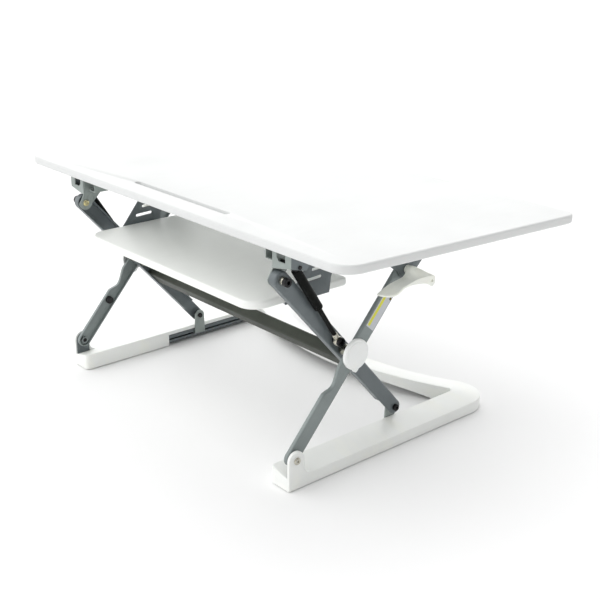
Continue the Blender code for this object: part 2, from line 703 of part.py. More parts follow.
def spring_rod():
    """Rod with a round eye at its lower end."""
    centre = (SPRING_X, *spring_low_pivot())
    rod = turned([(0.004, 0), (0.004, ROD_RADIUS), (ROD_LENGTH, ROD_RADIUS), (ROD_LENGTH, 0)],
                 centre, spring_direction(), 20)
    eye = pin(SPRING_X - 0.0046, SPRING_X + 0.0046, 0.0100, spring_low_pivot())
    collar = turned([(0.0115, 0), (0.0115, 0.0062), (0.021, 0.0062), (0.021, 0)],
                    centre, spring_direction(), 20)
    hole = pin(SPRING_X - 0.01, SPRING_X + 0.01, PIN_RADIUS + GAP, spring_low_pivot())
    return cut(join(rod, eye, collar), hole)


def spring_cylinder():
    """Pressure tube with an eye at its top end; the eye is wide enough for the pin to move in."""
    high = spring_high_pivot()
    centre = (SPRING_X, *high)
    down = tuple(-c for c in spring_direction())
    tube = turned([(0.006, 0), (0.006, 0.0065), (0.011, CYLINDER_RADIUS),
                   (CYLINDER_LENGTH - 0.004, CYLINDER_RADIUS),
                   (CYLINDER_LENGTH, CYLINDER_RADIUS - 0.0025), (CYLINDER_LENGTH, 0)], centre, down)
    bore = turned([(0.045, 0), (0.045, ROD_RADIUS + GAP), (CYLINDER_LENGTH + 0.01, ROD_RADIUS + GAP),
                   (CYLINDER_LENGTH + 0.01, 0)], centre, down, 20)
    eye = pin(SPRING_X - 0.005, SPRING_X + 0.005, 0.0098, high)
    hole = pin(SPRING_X - 0.01, SPRING_X + 0.01, PIN_RADIUS + 0.0032, high)
    return cut(join(tube, eye), bore, hole)


# ---- what hangs from the desktop ----
def desktop():
    """Board that is wider at the back, with a groove for a tablet near the front edge."""
    front, rear = DESK_FRONT_WIDTH / 2, DESK_REAR_WIDTH / 2
    back_y = DESK_FRONT_Y + DESK_DEPTH
    edge = 0.004
    bm = bmesh.new()
    rings = []
    for level, shrink in ((DESK_UNDERSIDE, edge), (DESK_UNDERSIDE + edge, 0), (DESK_HEIGHT - edge, 0),
                          (DESK_HEIGHT, edge)):
        outline = rounded([(-front + shrink, DESK_FRONT_Y + shrink, DESK_FRONT_RADIUS - shrink),
                           (front - shrink, DESK_FRONT_Y + shrink, DESK_FRONT_RADIUS - shrink),
                           (rear - shrink, back_y - shrink, DESK_REAR_RADIUS - shrink),
                           (-rear + shrink, back_y - shrink, DESK_REAR_RADIUS - shrink)], 8)
        rings.append([bm.verts.new((*p, level)) for p in outline])
    for near, far in zip(rings, rings[1:]):
        walls(bm, near, far)
    bm.faces.new(rings[0])
    bm.faces.new(rings[-1])
    bmesh.ops.recalc_face_normals(bm, faces=bm.faces)
    half = GROOVE_LENGTH / 2 - GROOVE_WIDTH / 2
    groove = slot((-half, GROOVE_Y), (half, GROOVE_Y), GROOVE_WIDTH / 2)
    return cut(bm, plate("Z", DESK_HEIGHT - GROOVE_DEPTH, DESK_HEIGHT + 0.01, groove))


def keyboard_tray():
    half, back_y, edge = TRAY_WIDTH / 2, DESK_FRONT_Y + TRAY_DEPTH, 0.004
    bm = bmesh.new()
    rings = []
    top = TRAY_BOTTOM + TRAY_THICKNESS
    for level, shrink in ((TRAY_BOTTOM, edge), (TRAY_BOTTOM + edge, 0), (top - edge, 0), (top, edge)):
        outline = rounded([(-half + shrink, DESK_FRONT_Y + shrink, TRAY_RADIUS - shrink),
                           (half - shrink, DESK_FRONT_Y + shrink, TRAY_RADIUS - shrink),
                           (half - shrink, back_y - shrink, 0.008 - shrink),
                           (-half + shrink, back_y - shrink, 0.008 - shrink)], 7)
        rings.append([bm.verts.new((*p, level)) for p in outline])
    for near, far in zip(rings, rings[1:]):
        walls(bm, near, far)
    bm.faces.new(rings[0])
    bm.faces.new(rings[-1])
    bmesh.ops.recalc_face_normals(bm, faces=bm.faces)
    return bm


def tray_hanger():
    """Sheet-steel hanger with slots, between the desktop and the side of the tray."""
    x0, x1 = TRAY_WIDTH / 2 + GAP, TRAY_WIDTH / 2 + 0.0023
    top, bottom = DESK_UNDERSIDE - GAP, TRAY_BOTTOM - 0.0023
    outline = [(-0.224, bottom), (-0.108, bottom), (-0.104, 0.372), (-0.060, top), (-0.110, top)]
    slots = [slot((-0.170 + 0.018 * k, 0.3785 + 0.0195 * k),
                  (-0.132 + 0.018 * k, 0.3800 + 0.0195 * k), 0.0032) for k in range(3)]
    upright = plate("X", x0, x1, outline, slots)
    top_flange = box(0.272, x1 - 0.001, -0.108, -0.062, top - 0.002, top)
    low_flange = box(0.272, x1 - 0.001, -0.220, -0.110, bottom, bottom + 0.002)
    return join(upright, top_flange, low_flange)


def top_rail():
    """Channel under the desktop, open towards the arms, that guides the upper carriage."""
    x0, x1, wall = RAIL_TOP_IN, RAIL_TOP_OUT, 0.002
    low, high = 0.449, DESK_UNDERSIDE - GAP
    lip_low, lip_high = 0.4555, high - 0.0055
    section = [(x0, low), (x1, low), (x1, lip_low), (x1 - wall, lip_low), (x1 - wall, low + wall),
               (x0 + wall, low + wall), (x0 + wall, high - wall), (x1 - wall, high - wall),
               (x1 - wall, lip_high), (x1, lip_high), (x1, high), (x0, high)]
    return plate("Y", -0.2755, 0.262, section)


def hinge_bracket():
    """Folded steel box under the desktop's front edge: it holds the inner arm and the gas spring."""
    x0, x1, wall = BRACKET_IN, BRACKET_OUT, 0.0025
    front, rear = -0.2855, -0.2370
    top = DESK_UNDERSIDE - GAP
    low_in, low_out = 0.4395, 0.4500
    face = [(x0, low_in), (x1, low_out), (x1, top), (x0, top)]
    window = [(0.3510, 0.4640), (0.3570, 0.4570), (0.3755, 0.4570), (0.3755, 0.4735), (0.3510, 0.4735)]
    front_plate = plate("Y", front, front + wall, face, [window])
    spring_hole = circle(spring_high_pivot(), PIN_RADIUS + GAP, 18)
    pivot_hole = circle(HIGH_PIVOT, BOLT_RADIUS + GAP)
    tongue = arc(HIGH_PIVOT, 0.0165, 180, 345, 12)
    tongue += [(rear, 0.4450), (rear, top), (front, top), (front, 0.4400)]
    inner_side = plate("X", x0, x0 + wall, tongue, [spring_hole, pivot_hole])
    cheek = [(front, low_out), (rear - 0.012, low_out - 0.010), (rear, 0.4560), (rear, top), (front, top)]
    outer_side = plate("X", x1 - wall, x1, cheek, [spring_hole])
    roof = box(x0 + 0.001, x1 - 0.001, front + 0.001, rear, top - wall, top)
    return join(front_plate, inner_side, outer_side, roof)


def high_bolt():
    """Turned bolt of the inner arm's top end: bright shoulder, black head outside, button inside."""
    inside, head = BRACKET_IN - GAP, 0.3705
    profile = [(inside - 0.0035, 0), (inside - 0.0035, 0.0060), (inside - 0.0025, 0.0075), (inside, 0.0075),
               (inside, BOLT_RADIUS), (INNER_ARM_WEB + GAP, BOLT_RADIUS), (INNER_ARM_WEB + GAP, 0.0085),
               (head, 0.0085), (head, 0.0100), (head + 0.0090, 0.0100), (head + 0.0100, 0.0090),
               (head + 0.0100, 0)]
    return turned(profile, (0, *HIGH_PIVOT))


def spring_top_pin():
    inside, outside = BRACKET_IN - 0.002, BRACKET_OUT + 0.002
    return pin(inside, outside, PIN_RADIUS, spring_high_pivot(), 20)


# ---- assembly ----
def build():
    clear_scene()
    white = make_material("white plastic", (0.86, 0.87, 0.85), 0.38)
    board = make_material("white board", (0.90, 0.91, 0.91), 0.30)
    grey = make_material("grey paint", (0.23, 0.25, 0.26), 0.45, 0.3)
    light_grey = make_material("light grey paint", (0.38, 0.41, 0.41), 0.45, 0.3)
    dark = make_material("dark steel", (0.07, 0.08, 0.085), 0.45, 0.5)
    black = make_material("black steel", (0.012, 0.012, 0.013), 0.35, 0.4)
    rubber = make_material("black rubber", (0.02, 0.02, 0.02), 0.80)
    bright = make_material("bright steel", (0.62, 0.61, 0.57), 0.28, 1.0)
    nylon = make_material("nylon", (0.10, 0.10, 0.10), 0.55)

    base = make_frame("base_frame", (0, 0, 0))
    inner = make_frame("inner_arms_frame", (0, *HUB), base)
    top = make_frame("desktop_frame", (0, *HIGH_PIVOT), inner)

    add("desktop", desktop(), board, top)
    add("keyboard_tray", keyboard_tray(), board, top)
    add("crossbeam", crossbeam(), grey, inner)
    add("base_crossbar", base_crossbar(), dark, base)

    for side, sign in (("right", 1), ("left", -1)):
        outer = make_frame("outer_arm_frame_" + side, (sign * OUTER_ARM_WEB, *LOW_PIVOT), base)
        high = make_frame("upper_carriage_frame_" + side, (sign * OUTER_CHEEK, *HIGH_CARRIAGE), outer)
        handle = make_frame("handle_frame_" + side, (sign * HANDLE_IN, *HANDLE_PIVOT), high)
        low = make_frame("lower_carriage_frame_" + side, (sign * CARRIAGE_IN, *LOW_CARRIAGE), inner)
        rod = make_frame("spring_rod_frame_" + side, (sign * SPRING_X, *spring_low_pivot()), inner)
        tube = make_frame("spring_cylinder_frame_" + side, (sign * SPRING_X, *spring_high_pivot()), rod)
        pieces = [
            ("base_cover", base_cover(), white, base),
            ("base_rail", base_rail(), dark, base),
            ("front_foot_pad", foot_pad(-0.272), rubber, base),
            ("rear_foot_pad", foot_pad(0.235), rubber, base),
            ("front_pivot_bolt", front_bolt(), bright, base),
            ("front_pivot_nut", front_nut(), black, base),
            ("outer_arm", outer_arm(), grey, outer),
            ("arm_bumper", arm_bumper(), rubber, outer),
            ("hub_cap", hub_cap(), white, outer),
            ("upper_carriage_pin", high_pin(), bright, outer),
            ("upper_carriage", high_carriage(), grey, high),
            ("handle_screw", handle_screw(), bright, high),
            ("release_handle", release_handle(), white, handle),
            ("upper_glide", high_glide(), nylon, high),
            ("inner_arm", inner_arm(), grey, inner),
            ("hub_pin", hub_pin(), bright, inner),
            ("lower_carriage_pin", low_pin(), black, inner),
            ("spring_bolt", spring_bolt(), black, inner),
            ("lower_carriage", low_carriage(), light_grey, low),
            ("lower_glide", low_glide(), nylon, low),
            ("spring_rod", spring_rod(), black, rod),
            ("spring_cylinder", spring_cylinder(), black, tube),
            ("top_rail", top_rail(), light_grey, top),
            ("hinge_bracket", hinge_bracket(), light_grey, top),
            ("desktop_pivot_bolt", high_bolt(), black, top),
            ("spring_top_pin", spring_top_pin(), bright, top),
            ("tray_hanger", tray_hanger(), dark, top),
        ]
        for name, bm, material, frame in pieces:
            add(name + "_" + side, bm if sign > 0 else mirrored(bm), material, frame)


build()
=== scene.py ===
"""Looks of the standing desk converter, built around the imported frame. Metres, in the frame's axes."""
import json
import math

import bmesh
import bpy
from mathutils import Matrix, Vector


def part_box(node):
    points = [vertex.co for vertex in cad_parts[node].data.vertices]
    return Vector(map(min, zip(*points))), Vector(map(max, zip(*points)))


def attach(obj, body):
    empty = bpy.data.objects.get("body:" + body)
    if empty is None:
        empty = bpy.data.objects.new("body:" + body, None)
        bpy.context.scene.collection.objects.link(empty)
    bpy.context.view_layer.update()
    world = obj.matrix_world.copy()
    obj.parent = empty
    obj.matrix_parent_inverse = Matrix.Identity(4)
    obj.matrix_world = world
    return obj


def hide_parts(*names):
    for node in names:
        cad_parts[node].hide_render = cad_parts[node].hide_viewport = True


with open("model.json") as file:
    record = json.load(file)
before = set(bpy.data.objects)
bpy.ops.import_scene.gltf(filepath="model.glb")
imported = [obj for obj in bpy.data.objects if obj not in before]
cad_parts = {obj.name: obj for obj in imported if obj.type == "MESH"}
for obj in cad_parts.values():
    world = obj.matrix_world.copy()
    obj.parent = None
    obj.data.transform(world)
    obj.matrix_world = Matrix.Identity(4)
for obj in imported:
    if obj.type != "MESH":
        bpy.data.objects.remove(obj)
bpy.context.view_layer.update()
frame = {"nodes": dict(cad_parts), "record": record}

RECORD = frame["record"]
BODY_OF = {node: body for body, nodes in RECORD["behaviour"]["bodies"].items() for node in nodes}

# ---- places that the pieces share: (y, z) of the axes, which run along x, and x of the gas springs ----
LOW_PIVOT = (-0.281, 0.064)
HIGH_PIVOT = (-0.281, 0.420)
LOW_CARRIAGE = (0.033, 0.064)
HIGH_CARRIAGE = (0.033, 0.420)
HUB = (-0.124, 0.242)
HANDLE_PIVOT = (0.010, 0.390)
SPRING_TOP = (-0.2645, 0.4494)
SPRING_X = 0.3727

# ---- the arms: half width, sheet, run and rise from end to end, x of webs and rims, radii of holes ----
ARM_END_RADIUS = 0.0165
SHEET = 0.003
ARM_RUN, ARM_RISE = 0.314, 0.356
OUTER_WEB, OUTER_RIM = 0.3960, 0.3868
INNER_WEB, INNER_RIM = 0.362, 0.344
BOLT_HOLE, HUB_HOLE, PIN_HOLE = 0.0053, 0.0083, 0.0043

# ---- the desktop: z of its faces and y of its front ----
DESK_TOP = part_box("desktop")[1].z
DESK_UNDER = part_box("desktop")[0].z
DESK_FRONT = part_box("desktop")[0].y

# ---- a clearance, and the edge that stands for a sharp one ----
GAP = 0.0003
CRISP = 0.00001


# ---- flat outlines, as lists of (u, v) ----
def along(start, end, distance, offset):
    """A point at a distance on the way from start to end, and an offset to its left."""
    length = math.hypot(end[0] - start[0], end[1] - start[1])
    du, dv = (end[0] - start[0]) / length, (end[1] - start[1]) / length
    return (start[0] + du * distance - dv * offset, start[1] + dv * distance + du * offset)


def arc(centre, radius, start_degrees, end_degrees, steps):
    angles = [math.radians(start_degrees + (end_degrees - start_degrees) * i / steps) for i in range(steps + 1)]
    return [(centre[0] + radius * math.cos(a), centre[1] + radius * math.sin(a)) for a in angles]


def circle(centre, radius, segments=40):
    return arc(centre, radius, 0, 360, segments)[:-1]


def rounded(corners, steps):
    """A convex outline from (u, v, radius) corners."""
    points = []
    for i, (u, v, radius) in enumerate(corners):
        here = Vector((u, v))
        before = (Vector(corners[i - 1][:2]) - here).normalized()
        after = (Vector(corners[(i + 1) % len(corners)][:2]) - here).normalized()
        half = before.angle(after) / 2
        centre = here + (before + after).normalized() * (radius / math.sin(half))
        first = here + before * (radius / math.tan(half)) - centre
        last = here + after * (radius / math.tan(half)) - centre
        sweep = first.angle_signed(last)
        points += [tuple(centre + Matrix.Rotation(-sweep * k / steps, 2) @ first) for k in range(steps + 1)]
    return points


def oblong(start, end, half_width):
    """An outline with parallel sides and round ends."""
    steps = 8
    angle = math.degrees(math.atan2(end[1] - start[1], end[0] - start[0]))
    return (arc(end, half_width, angle - 90, angle + 90, steps)
            + arc(start, half_width, angle + 90, angle + 270, steps))


def inset(outline, distance):
    """The outline moved inwards; a negative distance moves it outwards."""
    points = []
    for i in range(len(outline)):
        before = (Vector(outline[i]) - Vector(outline[i - 1])).normalized()
        after = (Vector(outline[(i + 1) % len(outline)]) - Vector(outline[i])).normalized()
        normal = Vector((-before.y - after.y, before.x + after.x)).normalized()
        stretch = max(0.5, normal.dot(Vector((-before.y, before.x))))
        points.append(tuple(Vector(outline[i]) + normal * (distance / stretch)))
    return points


def smooth_loop(points):
    """A closed curve through the points."""
    steps = 5
    result = []
    count = len(points)
    for i in range(count):
        a, b, c, d = (Vector(points[(i + k) % count]) for k in (-1, 0, 1, 2))
        for k in range(steps):
            t = k / steps
            result.append(tuple(0.5 * (2 * b + (c - a) * t + (2 * a - 5 * b + 4 * c - d) * t * t
                                       + (3 * b - a - 3 * c + d) * t ** 3)))
    return result


# ---- solids ----
def to_space(axis, level, point):
    """The place of an outline's point at a level of the axis."""
    u, v = point
    return {"X": (level, u, v), "Y": (u, level, v), "Z": (u, v, level)}[axis]


def fill(bm, loops):
    """A flat face of triangles inside the first loop and outside the others."""
    edges = []
    for loop in loops:
        for i in range(len(loop)):
            pair = (loop[i - 1], loop[i])
            edges.append(bm.edges.get(pair) or bm.edges.new(pair))
    bmesh.ops.triangle_fill(bm, use_beauty=True, edges=edges)


def walls(bm, lower, upper):
    """Quads between two rings of as many points."""
    for i in range(len(lower)):
        bm.faces.new((lower[i - 1], lower[i], upper[i], upper[i - 1]))


def skin(bm, rings):
    """Walls from each ring to the next."""
    for near, far in zip(rings, rings[1:]):
        walls(bm, near, far)


def closed(bm, rings):
    """Walls from each ring to the next, and a face on each end."""
    skin(bm, rings)
    bm.faces.new(rings[0])
    bm.faces.new(rings[-1])
    bmesh.ops.recalc_face_normals(bm, faces=bm.faces)
    return bm


def edge_levels(low, high, edge, steps, between=()):
    """(level, shrink) of the sections of a solid whose lower and upper edges are rounded."""
    turns = [math.pi / 2 * k / steps for k in range(steps + 1)]
    rounding = [(edge * (1 - math.sin(a)), edge * (1 - math.cos(a))) for a in turns]
    return ([(low + lift, shrink) for lift, shrink in reversed(rounding)] + [(level, 0) for level in between]
            + [(high - lift, shrink) for lift, shrink in rounding])


def rounded_plate(axis, low, high, outline, holes=(), edge=0.0004, steps=3):
    """A flat piece with rounded edges on its outside and at its holes."""
    bm = bmesh.new()
    rings = []
    for level, shrink in edge_levels(low, high, edge, steps):
        loops = [inset(outline, shrink) if shrink else outline]
        loops += [inset(hole, -shrink) if shrink else hole for hole in holes]
        rings.append([[bm.verts.new(to_space(axis, level, p)) for p in loop] for loop in loops])
    for near, far in zip(rings, rings[1:]):
        for a, b in zip(near, far):
            walls(bm, a, b)
    fill(bm, rings[0])
    fill(bm, rings[-1])
    bmesh.ops.recalc_face_normals(bm, faces=bm.faces)
    return bm


def box(x0, x1, y0, y1, z0, z1):
    return rounded_plate("Z", z0, z1, [(x0, y0), (x1, y0), (x1, y1), (x0, y1)], edge=CRISP, steps=1)


def turned(profile, centre, direction=(1, 0, 0), segments=40):
    """A turned piece from (distance along the axis, radius) points; the first and the last are on the axis."""
    bm = bmesh.new()
    aim = Vector((0, 0, 1)).rotation_difference(Vector(direction)).to_matrix()
    rings = []
    for distance, radius in profile:
        if radius == 0:
            rings.append([bm.verts.new(Vector(centre) + aim @ Vector((0, 0, distance)))])
            continue
        rings.append([bm.verts.new(Vector(centre) + aim @ Vector((u, v, distance)))
                      for u, v in circle((0, 0), radius, segments)])
    for near, far in zip(rings, rings[1:]):
        for i in range(segments):
            corners = (near[(i - 1) % len(near)], near[i % len(near)],
                       far[i % len(far)], far[(i - 1) % len(far)])
            bm.faces.new(dict.fromkeys(corners))
    bmesh.ops.recalc_face_normals(bm, faces=bm.faces)
    return bm


def drill(start, end, radius, centre, direction=(1, 0, 0), segments=40):
    """A plain cylinder that cuts a bore."""
    return turned([(start, 0), (start, radius), (end, radius), (end, 0)], centre, direction, segments)


def eased(profile, radius=0.0005):
    """A turned profile whose corners are rounded."""
    steps = 3
    points = [profile[0]]
    for before, here, after in zip(profile, profile[1:], profile[2:]):
        back = Vector(before) - Vector(here)
        on = Vector(after) - Vector(here)
        reach = min(radius, back.length * 0.45, on.length * 0.45)
        start = Vector(here) + back.normalized() * reach
        end = Vector(here) + on.normalized() * reach
        for k in range(steps + 1):
            t = k / steps
            points.append(tuple(start * (1 - t) ** 2 + Vector(here) * 2 * t * (1 - t) + end * t * t))
    points.append(profile[-1])
    return points


def combine(base, tool, operation):
    """Both solids are used up."""
    weld = 0.000005
    objects = []
    for bm in (base, tool):
        mesh = bpy.data.meshes.new("work")
        bm.to_mesh(mesh)
        bm.free()
        obj = bpy.data.objects.new("work", mesh)
        bpy.context.scene.collection.objects.link(obj)
        objects.append(obj)
    modifier = objects[0].modifiers.new("combine", "BOOLEAN")
    modifier.operation = operation
    modifier.solver = "EXACT"
    modifier.object = objects[1]
    bpy.context.view_layer.update()
    result = bmesh.new()
    result.from_object(objects[0], bpy.context.evaluated_depsgraph_get())
    for obj in objects:
        mesh = obj.data
        bpy.data.objects.remove(obj)
        bpy.data.meshes.remove(mesh)
    bmesh.ops.remove_doubles(result, verts=result.verts, dist=weld)
    bmesh.ops.dissolve_degenerate(result, dist=weld, edges=result.edges)
    return result


def cut(base, *tools):
    for tool in tools:
        base = combine(base, tool, "DIFFERENCE")
    return base


def join(base, *tools):
    for tool in tools:
        base = combine(base, tool, "UNION")
    return base


def mirrored(bm):
    """The left piece from the right one."""
    bmesh.ops.scale(bm, vec=(-1, 1, 1), verts=bm.verts)
    bmesh.ops.reverse_faces(bm, faces=bm.faces)
    return bm


def soften(bm, width):
    """Rounds the sharp edges, after the facets that lie in one plane are merged."""
    flat, sharp = math.radians(0.6), math.radians(35)
    bmesh.ops.remove_doubles(bm, verts=bm.verts, dist=0.00001)
    bmesh.ops.dissolve_limit(bm, angle_limit=flat, verts=bm.verts, edges=bm.edges)
    edges = [e for e in bm.edges if e.is_manifold and e.calc_face_angle(0) > sharp]
    bmesh.ops.bevel(bm, geom=edges, offset=width, offset_type="OFFSET", segments=2, profile=0.5,
                    affect="EDGES", clamp_overlap=True)
    return bm


# ---- materials ----
class Surface:
    """A node-based material: colour drift, roughness drift and fine relief, in the piece's own coordinates."""

    def __init__(self, name, colour, roughness, metallic=0.0, coat=0.0, specular=0.5):
        self.material = bpy.data.materials.new(name)
        self.material.use_nodes = True
        self.tree = self.material.node_tree
        self.shader = self.tree.nodes["Principled BSDF"]
        self.shader.inputs["Metallic"].default_value = metallic
        self.shader.inputs["Coat Weight"].default_value = coat
        self.shader.inputs["Coat Roughness"].default_value = 0.2
        self.shader.inputs["Specular IOR Level"].default_value = specular
        self.shader.inputs["Base Color"].default_value = (*colour, 1)
        self.shader.inputs["Roughness"].default_value = roughness
        self.colour = colour
        self.coords = self.tree.nodes.new("ShaderNodeTexCoord").outputs["Object"]
        self.tone = None
        self.normal = None

    def noise(self, scale, detail, stretch=(1, 1, 1), rough=0.5):
        mapping = self.tree.nodes.new("ShaderNodeMapping")
        mapping.inputs["Scale"].default_value = stretch
        self.tree.links.new(self.coords, mapping.inputs["Vector"])
        node = self.tree.nodes.new("ShaderNodeTexNoise")
        node.inputs["Scale"].default_value = scale
        node.inputs["Detail"].default_value = detail
        node.inputs["Roughness"].default_value = rough
        self.tree.links.new(mapping.outputs["Vector"], node.inputs["Vector"])
        return node.outputs["Fac"]

    def cells(self, scale, feature="SMOOTH_F1"):
        node = self.tree.nodes.new("ShaderNodeTexVoronoi")
        node.feature = feature
        node.inputs["Scale"].default_value = scale
        self.tree.links.new(self.coords, node.inputs["Vector"])
        return node.outputs["Distance"]

    def bands(self, scale, distortion):
        node = self.tree.nodes.new("ShaderNodeTexWave")
        node.bands_direction = "X"
        node.inputs["Scale"].default_value = scale
        node.inputs["Distortion"].default_value = distortion
        node.inputs["Detail"].default_value = 2.0
        self.tree.links.new(self.coords, node.inputs["Vector"])
        return node.outputs["Fac"]

    def fit(self, value, low, high, out_low, out_high):
        """Stretches the value's range low to high over another range."""
        node = self.tree.nodes.new("ShaderNodeMapRange")
        for name, number in (("From Min", low), ("From Max", high), ("To Min", out_low), ("To Max", out_high)):
            node.inputs[name].default_value = number
        self.tree.links.new(value, node.inputs["Value"])
        return node.outputs["Result"]

    def tint(self, value, colour, low, high, amount=1.0):
        """Mixes another colour in where the value is high."""
        mix = self.tree.nodes.new("ShaderNodeMix")
        mix.data_type = "RGBA"
        self.tree.links.new(self.fit(value, low, high, 0.0, amount), mix.inputs[0])
        if self.tone:
            self.tree.links.new(self.tone, mix.inputs[6])
        else:
            mix.inputs[6].default_value = (*self.colour, 1)
        mix.inputs[7].default_value = (*colour, 1)
        self.tone = mix.outputs[2]
        self.tree.links.new(self.tone, self.shader.inputs["Base Color"])

    def gloss(self, value, rough_low, rough_high):
        """Lets the roughness drift with the value."""
        self.tree.links.new(self.fit(value, 0.3, 0.7, rough_low, rough_high), self.shader.inputs["Roughness"])

    def relief(self, value, depth, strength):
        bump = self.tree.nodes.new("ShaderNodeBump")
        bump.inputs["Distance"].default_value = depth
        bump.inputs["Strength"].default_value = strength
        self.tree.links.new(value, bump.inputs["Height"])
        if self.normal:
            self.tree.links.new(self.normal, bump.inputs["Normal"])
        self.normal = bump.outputs["Normal"]
        self.tree.links.new(self.normal, self.shader.inputs["Normal"])


def shade(colour, factor):
    return tuple(min(1.0, c * factor) for c in colour)


def laminate(name, colour):
    """White melamine: almost even, with a fine pearl grain and faint handling marks."""
    s = Surface(name, colour, 0.42, specular=0.45)
    s.tint(s.noise(2.4, 4), shade(colour, 0.965), 0.42, 0.66)
    s.tint(s.noise(60, 5, (1, 0.25, 1)), shade(colour, 0.985), 0.5, 0.7)
    s.gloss(s.noise(9, 6), 0.36, 0.47)
    s.relief(s.noise(1500, 2), 0.00004, 0.5)
    s.relief(s.cells(900), 0.00003, 0.4)
    return s.material


def moulded(name, colour):
    """White moulded plastic with an eroded texture and faint flow marks."""
    s = Surface(name, colour, 0.36, specular=0.5)
    s.tint(s.noise(7, 3), shade(colour, 0.95), 0.4, 0.7)
    yellowed = (colour[0], colour[1] * 0.995, colour[2] * 0.96)
    s.tint(s.noise(22, 4, (0.3, 1, 1)), yellowed, 0.52, 0.75)
    s.gloss(s.noise(30, 4), 0.30, 0.44)
    s.relief(s.cells(1100), 0.00005, 0.6)
    s.relief(s.noise(45, 3), 0.0002, 0.15)
    return s.material


def powder_coat(name, colour, metallic=0.25, rough=0.42):
    """Powder-coated steel: orange-peel relief, metallic fleck and small scuffs."""
    s = Surface(name, colour, rough, metallic, coat=0.12)
    s.tint(s.noise(11, 4), shade(colour, 0.84), 0.4, 0.7)
    s.tint(s.noise(2600, 1), shade(colour, 1.45), 0.62, 0.8, 0.7)
    s.tint(s.noise(85, 8, (1, 1, 1), 0.75), shade(colour, 1.3), 0.66, 0.8, 0.6)
    s.gloss(s.noise(38, 5), rough - 0.08, rough + 0.1)
    s.relief(s.noise(520, 2), 0.00009, 0.55)
    return s.material


def black_oxide(name, colour):
    """Blackened steel with a brownish cast where it is rubbed."""
    rough = 0.34
    rubbed = (colour[0] * 2.4, colour[1] * 2.0, colour[2] * 1.8)
    s = Surface(name, colour, rough, 0.6)
    s.tint(s.noise(90, 5), rubbed, 0.5, 0.8)
    s.gloss(s.noise(150, 4), rough - 0.1, rough + 0.12)
    s.relief(s.noise(1300, 2), 0.00003, 0.5)
    return s.material


def zinc(name, colour, warm=0.0):
    """Zinc plating with a faint crystalline pattern and turning lines."""
    s = Surface(name, colour, 0.26, 1.0)
    warmer = (colour[0], colour[1] * (0.95 - warm * 0.1), colour[2] * (0.82 - warm))
    s.tint(s.cells(420, "F1"), warmer, 0.15, 0.6)
    s.tint(s.noise(160, 5), shade(colour, 0.7), 0.55, 0.8)
    s.gloss(s.noise(240, 3), 0.2, 0.36)
    s.relief(s.bands(1900, 0.6), 0.00002, 0.4)
    return s.material


def rubbery(name, colour):
    """Dull rubber or nylon with a grained surface."""
    s = Surface(name, colour, 0.78, specular=0.3)
    s.tint(s.noise(40, 5), shade(colour, 1.9), 0.5, 0.8)
    s.gloss(s.noise(70, 4), 0.68, 0.88)
    s.relief(s.cells(800), 0.00012, 0.6)
    return s.material


def satin_black(name, colour, rough):
    """Painted pressure tube: even satin black with faint lengthwise drawing lines."""
    s = Surface(name, colour, rough, 0.0, specular=0.07)
    s.tint(s.noise(55, 4), shade(colour, 2.2), 0.55, 0.8)
    s.gloss(s.noise(120, 4, (1, 1, 0.2)), rough - 0.07, rough + 0.1)
    s.relief(s.noise(900, 2, (1, 1, 0.15)), 0.00003, 0.5)
    return s.material


# The desktop and the tray are one white laminate in two brightnesses, set by how light falls on them: the
# desktop's darker copy is painted shade on its fully lit top, and the tray's lighter copy is painted light against
# the desktop's shadow.
BOARD = laminate("white_laminate", (0.70, 0.71, 0.705))
TRAY = laminate("white_laminate_tray", (0.92, 0.935, 0.905))
# The base cover's white is set lighter than the desktop's laminate: painted light against the desktop's shadow on
# the base.
PLASTIC = moulded("white_moulded", (0.91, 0.925, 0.90))
CAP = moulded("white_moulded_cap", (0.90, 0.915, 0.905))
LEVER = moulded("white_moulded_lever", (0.93, 0.945, 0.88))
GREY = powder_coat("grey_powder_coat", (0.232, 0.265, 0.262))
STEEL_BLUE = powder_coat("blue_grey_powder_coat", (0.136, 0.158, 0.166))
# The crossbeam's grey-green powder coat, set far darker than the arms' paint as painted shade under the tray.
OLIVE_PAINTED_SHADE = powder_coat("olive_grey_powder_coat_painted_shade", (0.046, 0.052, 0.040), 0.15, 0.7)
LIGHT = powder_coat("light_grey_powder_coat", (0.305, 0.345, 0.328))
DARK = powder_coat("dark_powder_coat", (0.060, 0.068, 0.072), 0.2, 0.46)
BLACK = black_oxide("black_oxide", (0.012, 0.012, 0.013))
BRIGHT = zinc("zinc_plate", (0.56, 0.56, 0.53))
PLAIN = zinc("plain_steel", (0.26, 0.27, 0.25))
BRASS = zinc("yellow_zinc_plate", (0.60, 0.575, 0.46), 0.25)
# A darker copy of the yellow zinc plate, for the small screw on the outer arm.
DARK_BRASS = zinc("dark_yellow_zinc", (0.16, 0.14, 0.07), 0.35)
RUBBER = rubbery("black_rubber", (0.02, 0.02, 0.021))
NYLON = rubbery("black_nylon", (0.05, 0.05, 0.052))
TUBE = satin_black("gas_spring_black", (0.005, 0.0055, 0.005), 0.42)
SLEEVE = satin_black("gas_rod_black", (0.008, 0.008, 0.0075), 0.45)
LABEL = laminate("label_film", (0.56, 0.58, 0.61))
STRIPE = laminate("label_stripe", (0.72, 0.69, 0.06))


# ---- pieces ----
def add_piece(name, bm, material, node=None, body=None, sharp=38):
    """A visible piece that rides on the body of the CAD node that it stands for."""
    mesh = bpy.data.meshes.new(name)
    bm.to_mesh(mesh)
    bm.free()
    mesh.materials.append(material)
    mesh.shade_smooth()
    mesh.set_sharp_from_angle(angle=math.radians(sharp))
    obj = bpy.data.objects.new(name, mesh)
    bpy.context.scene.collection.objects.link(obj)
    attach(obj, body or BODY_OF[node])
    if node:
        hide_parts(node)
    return obj


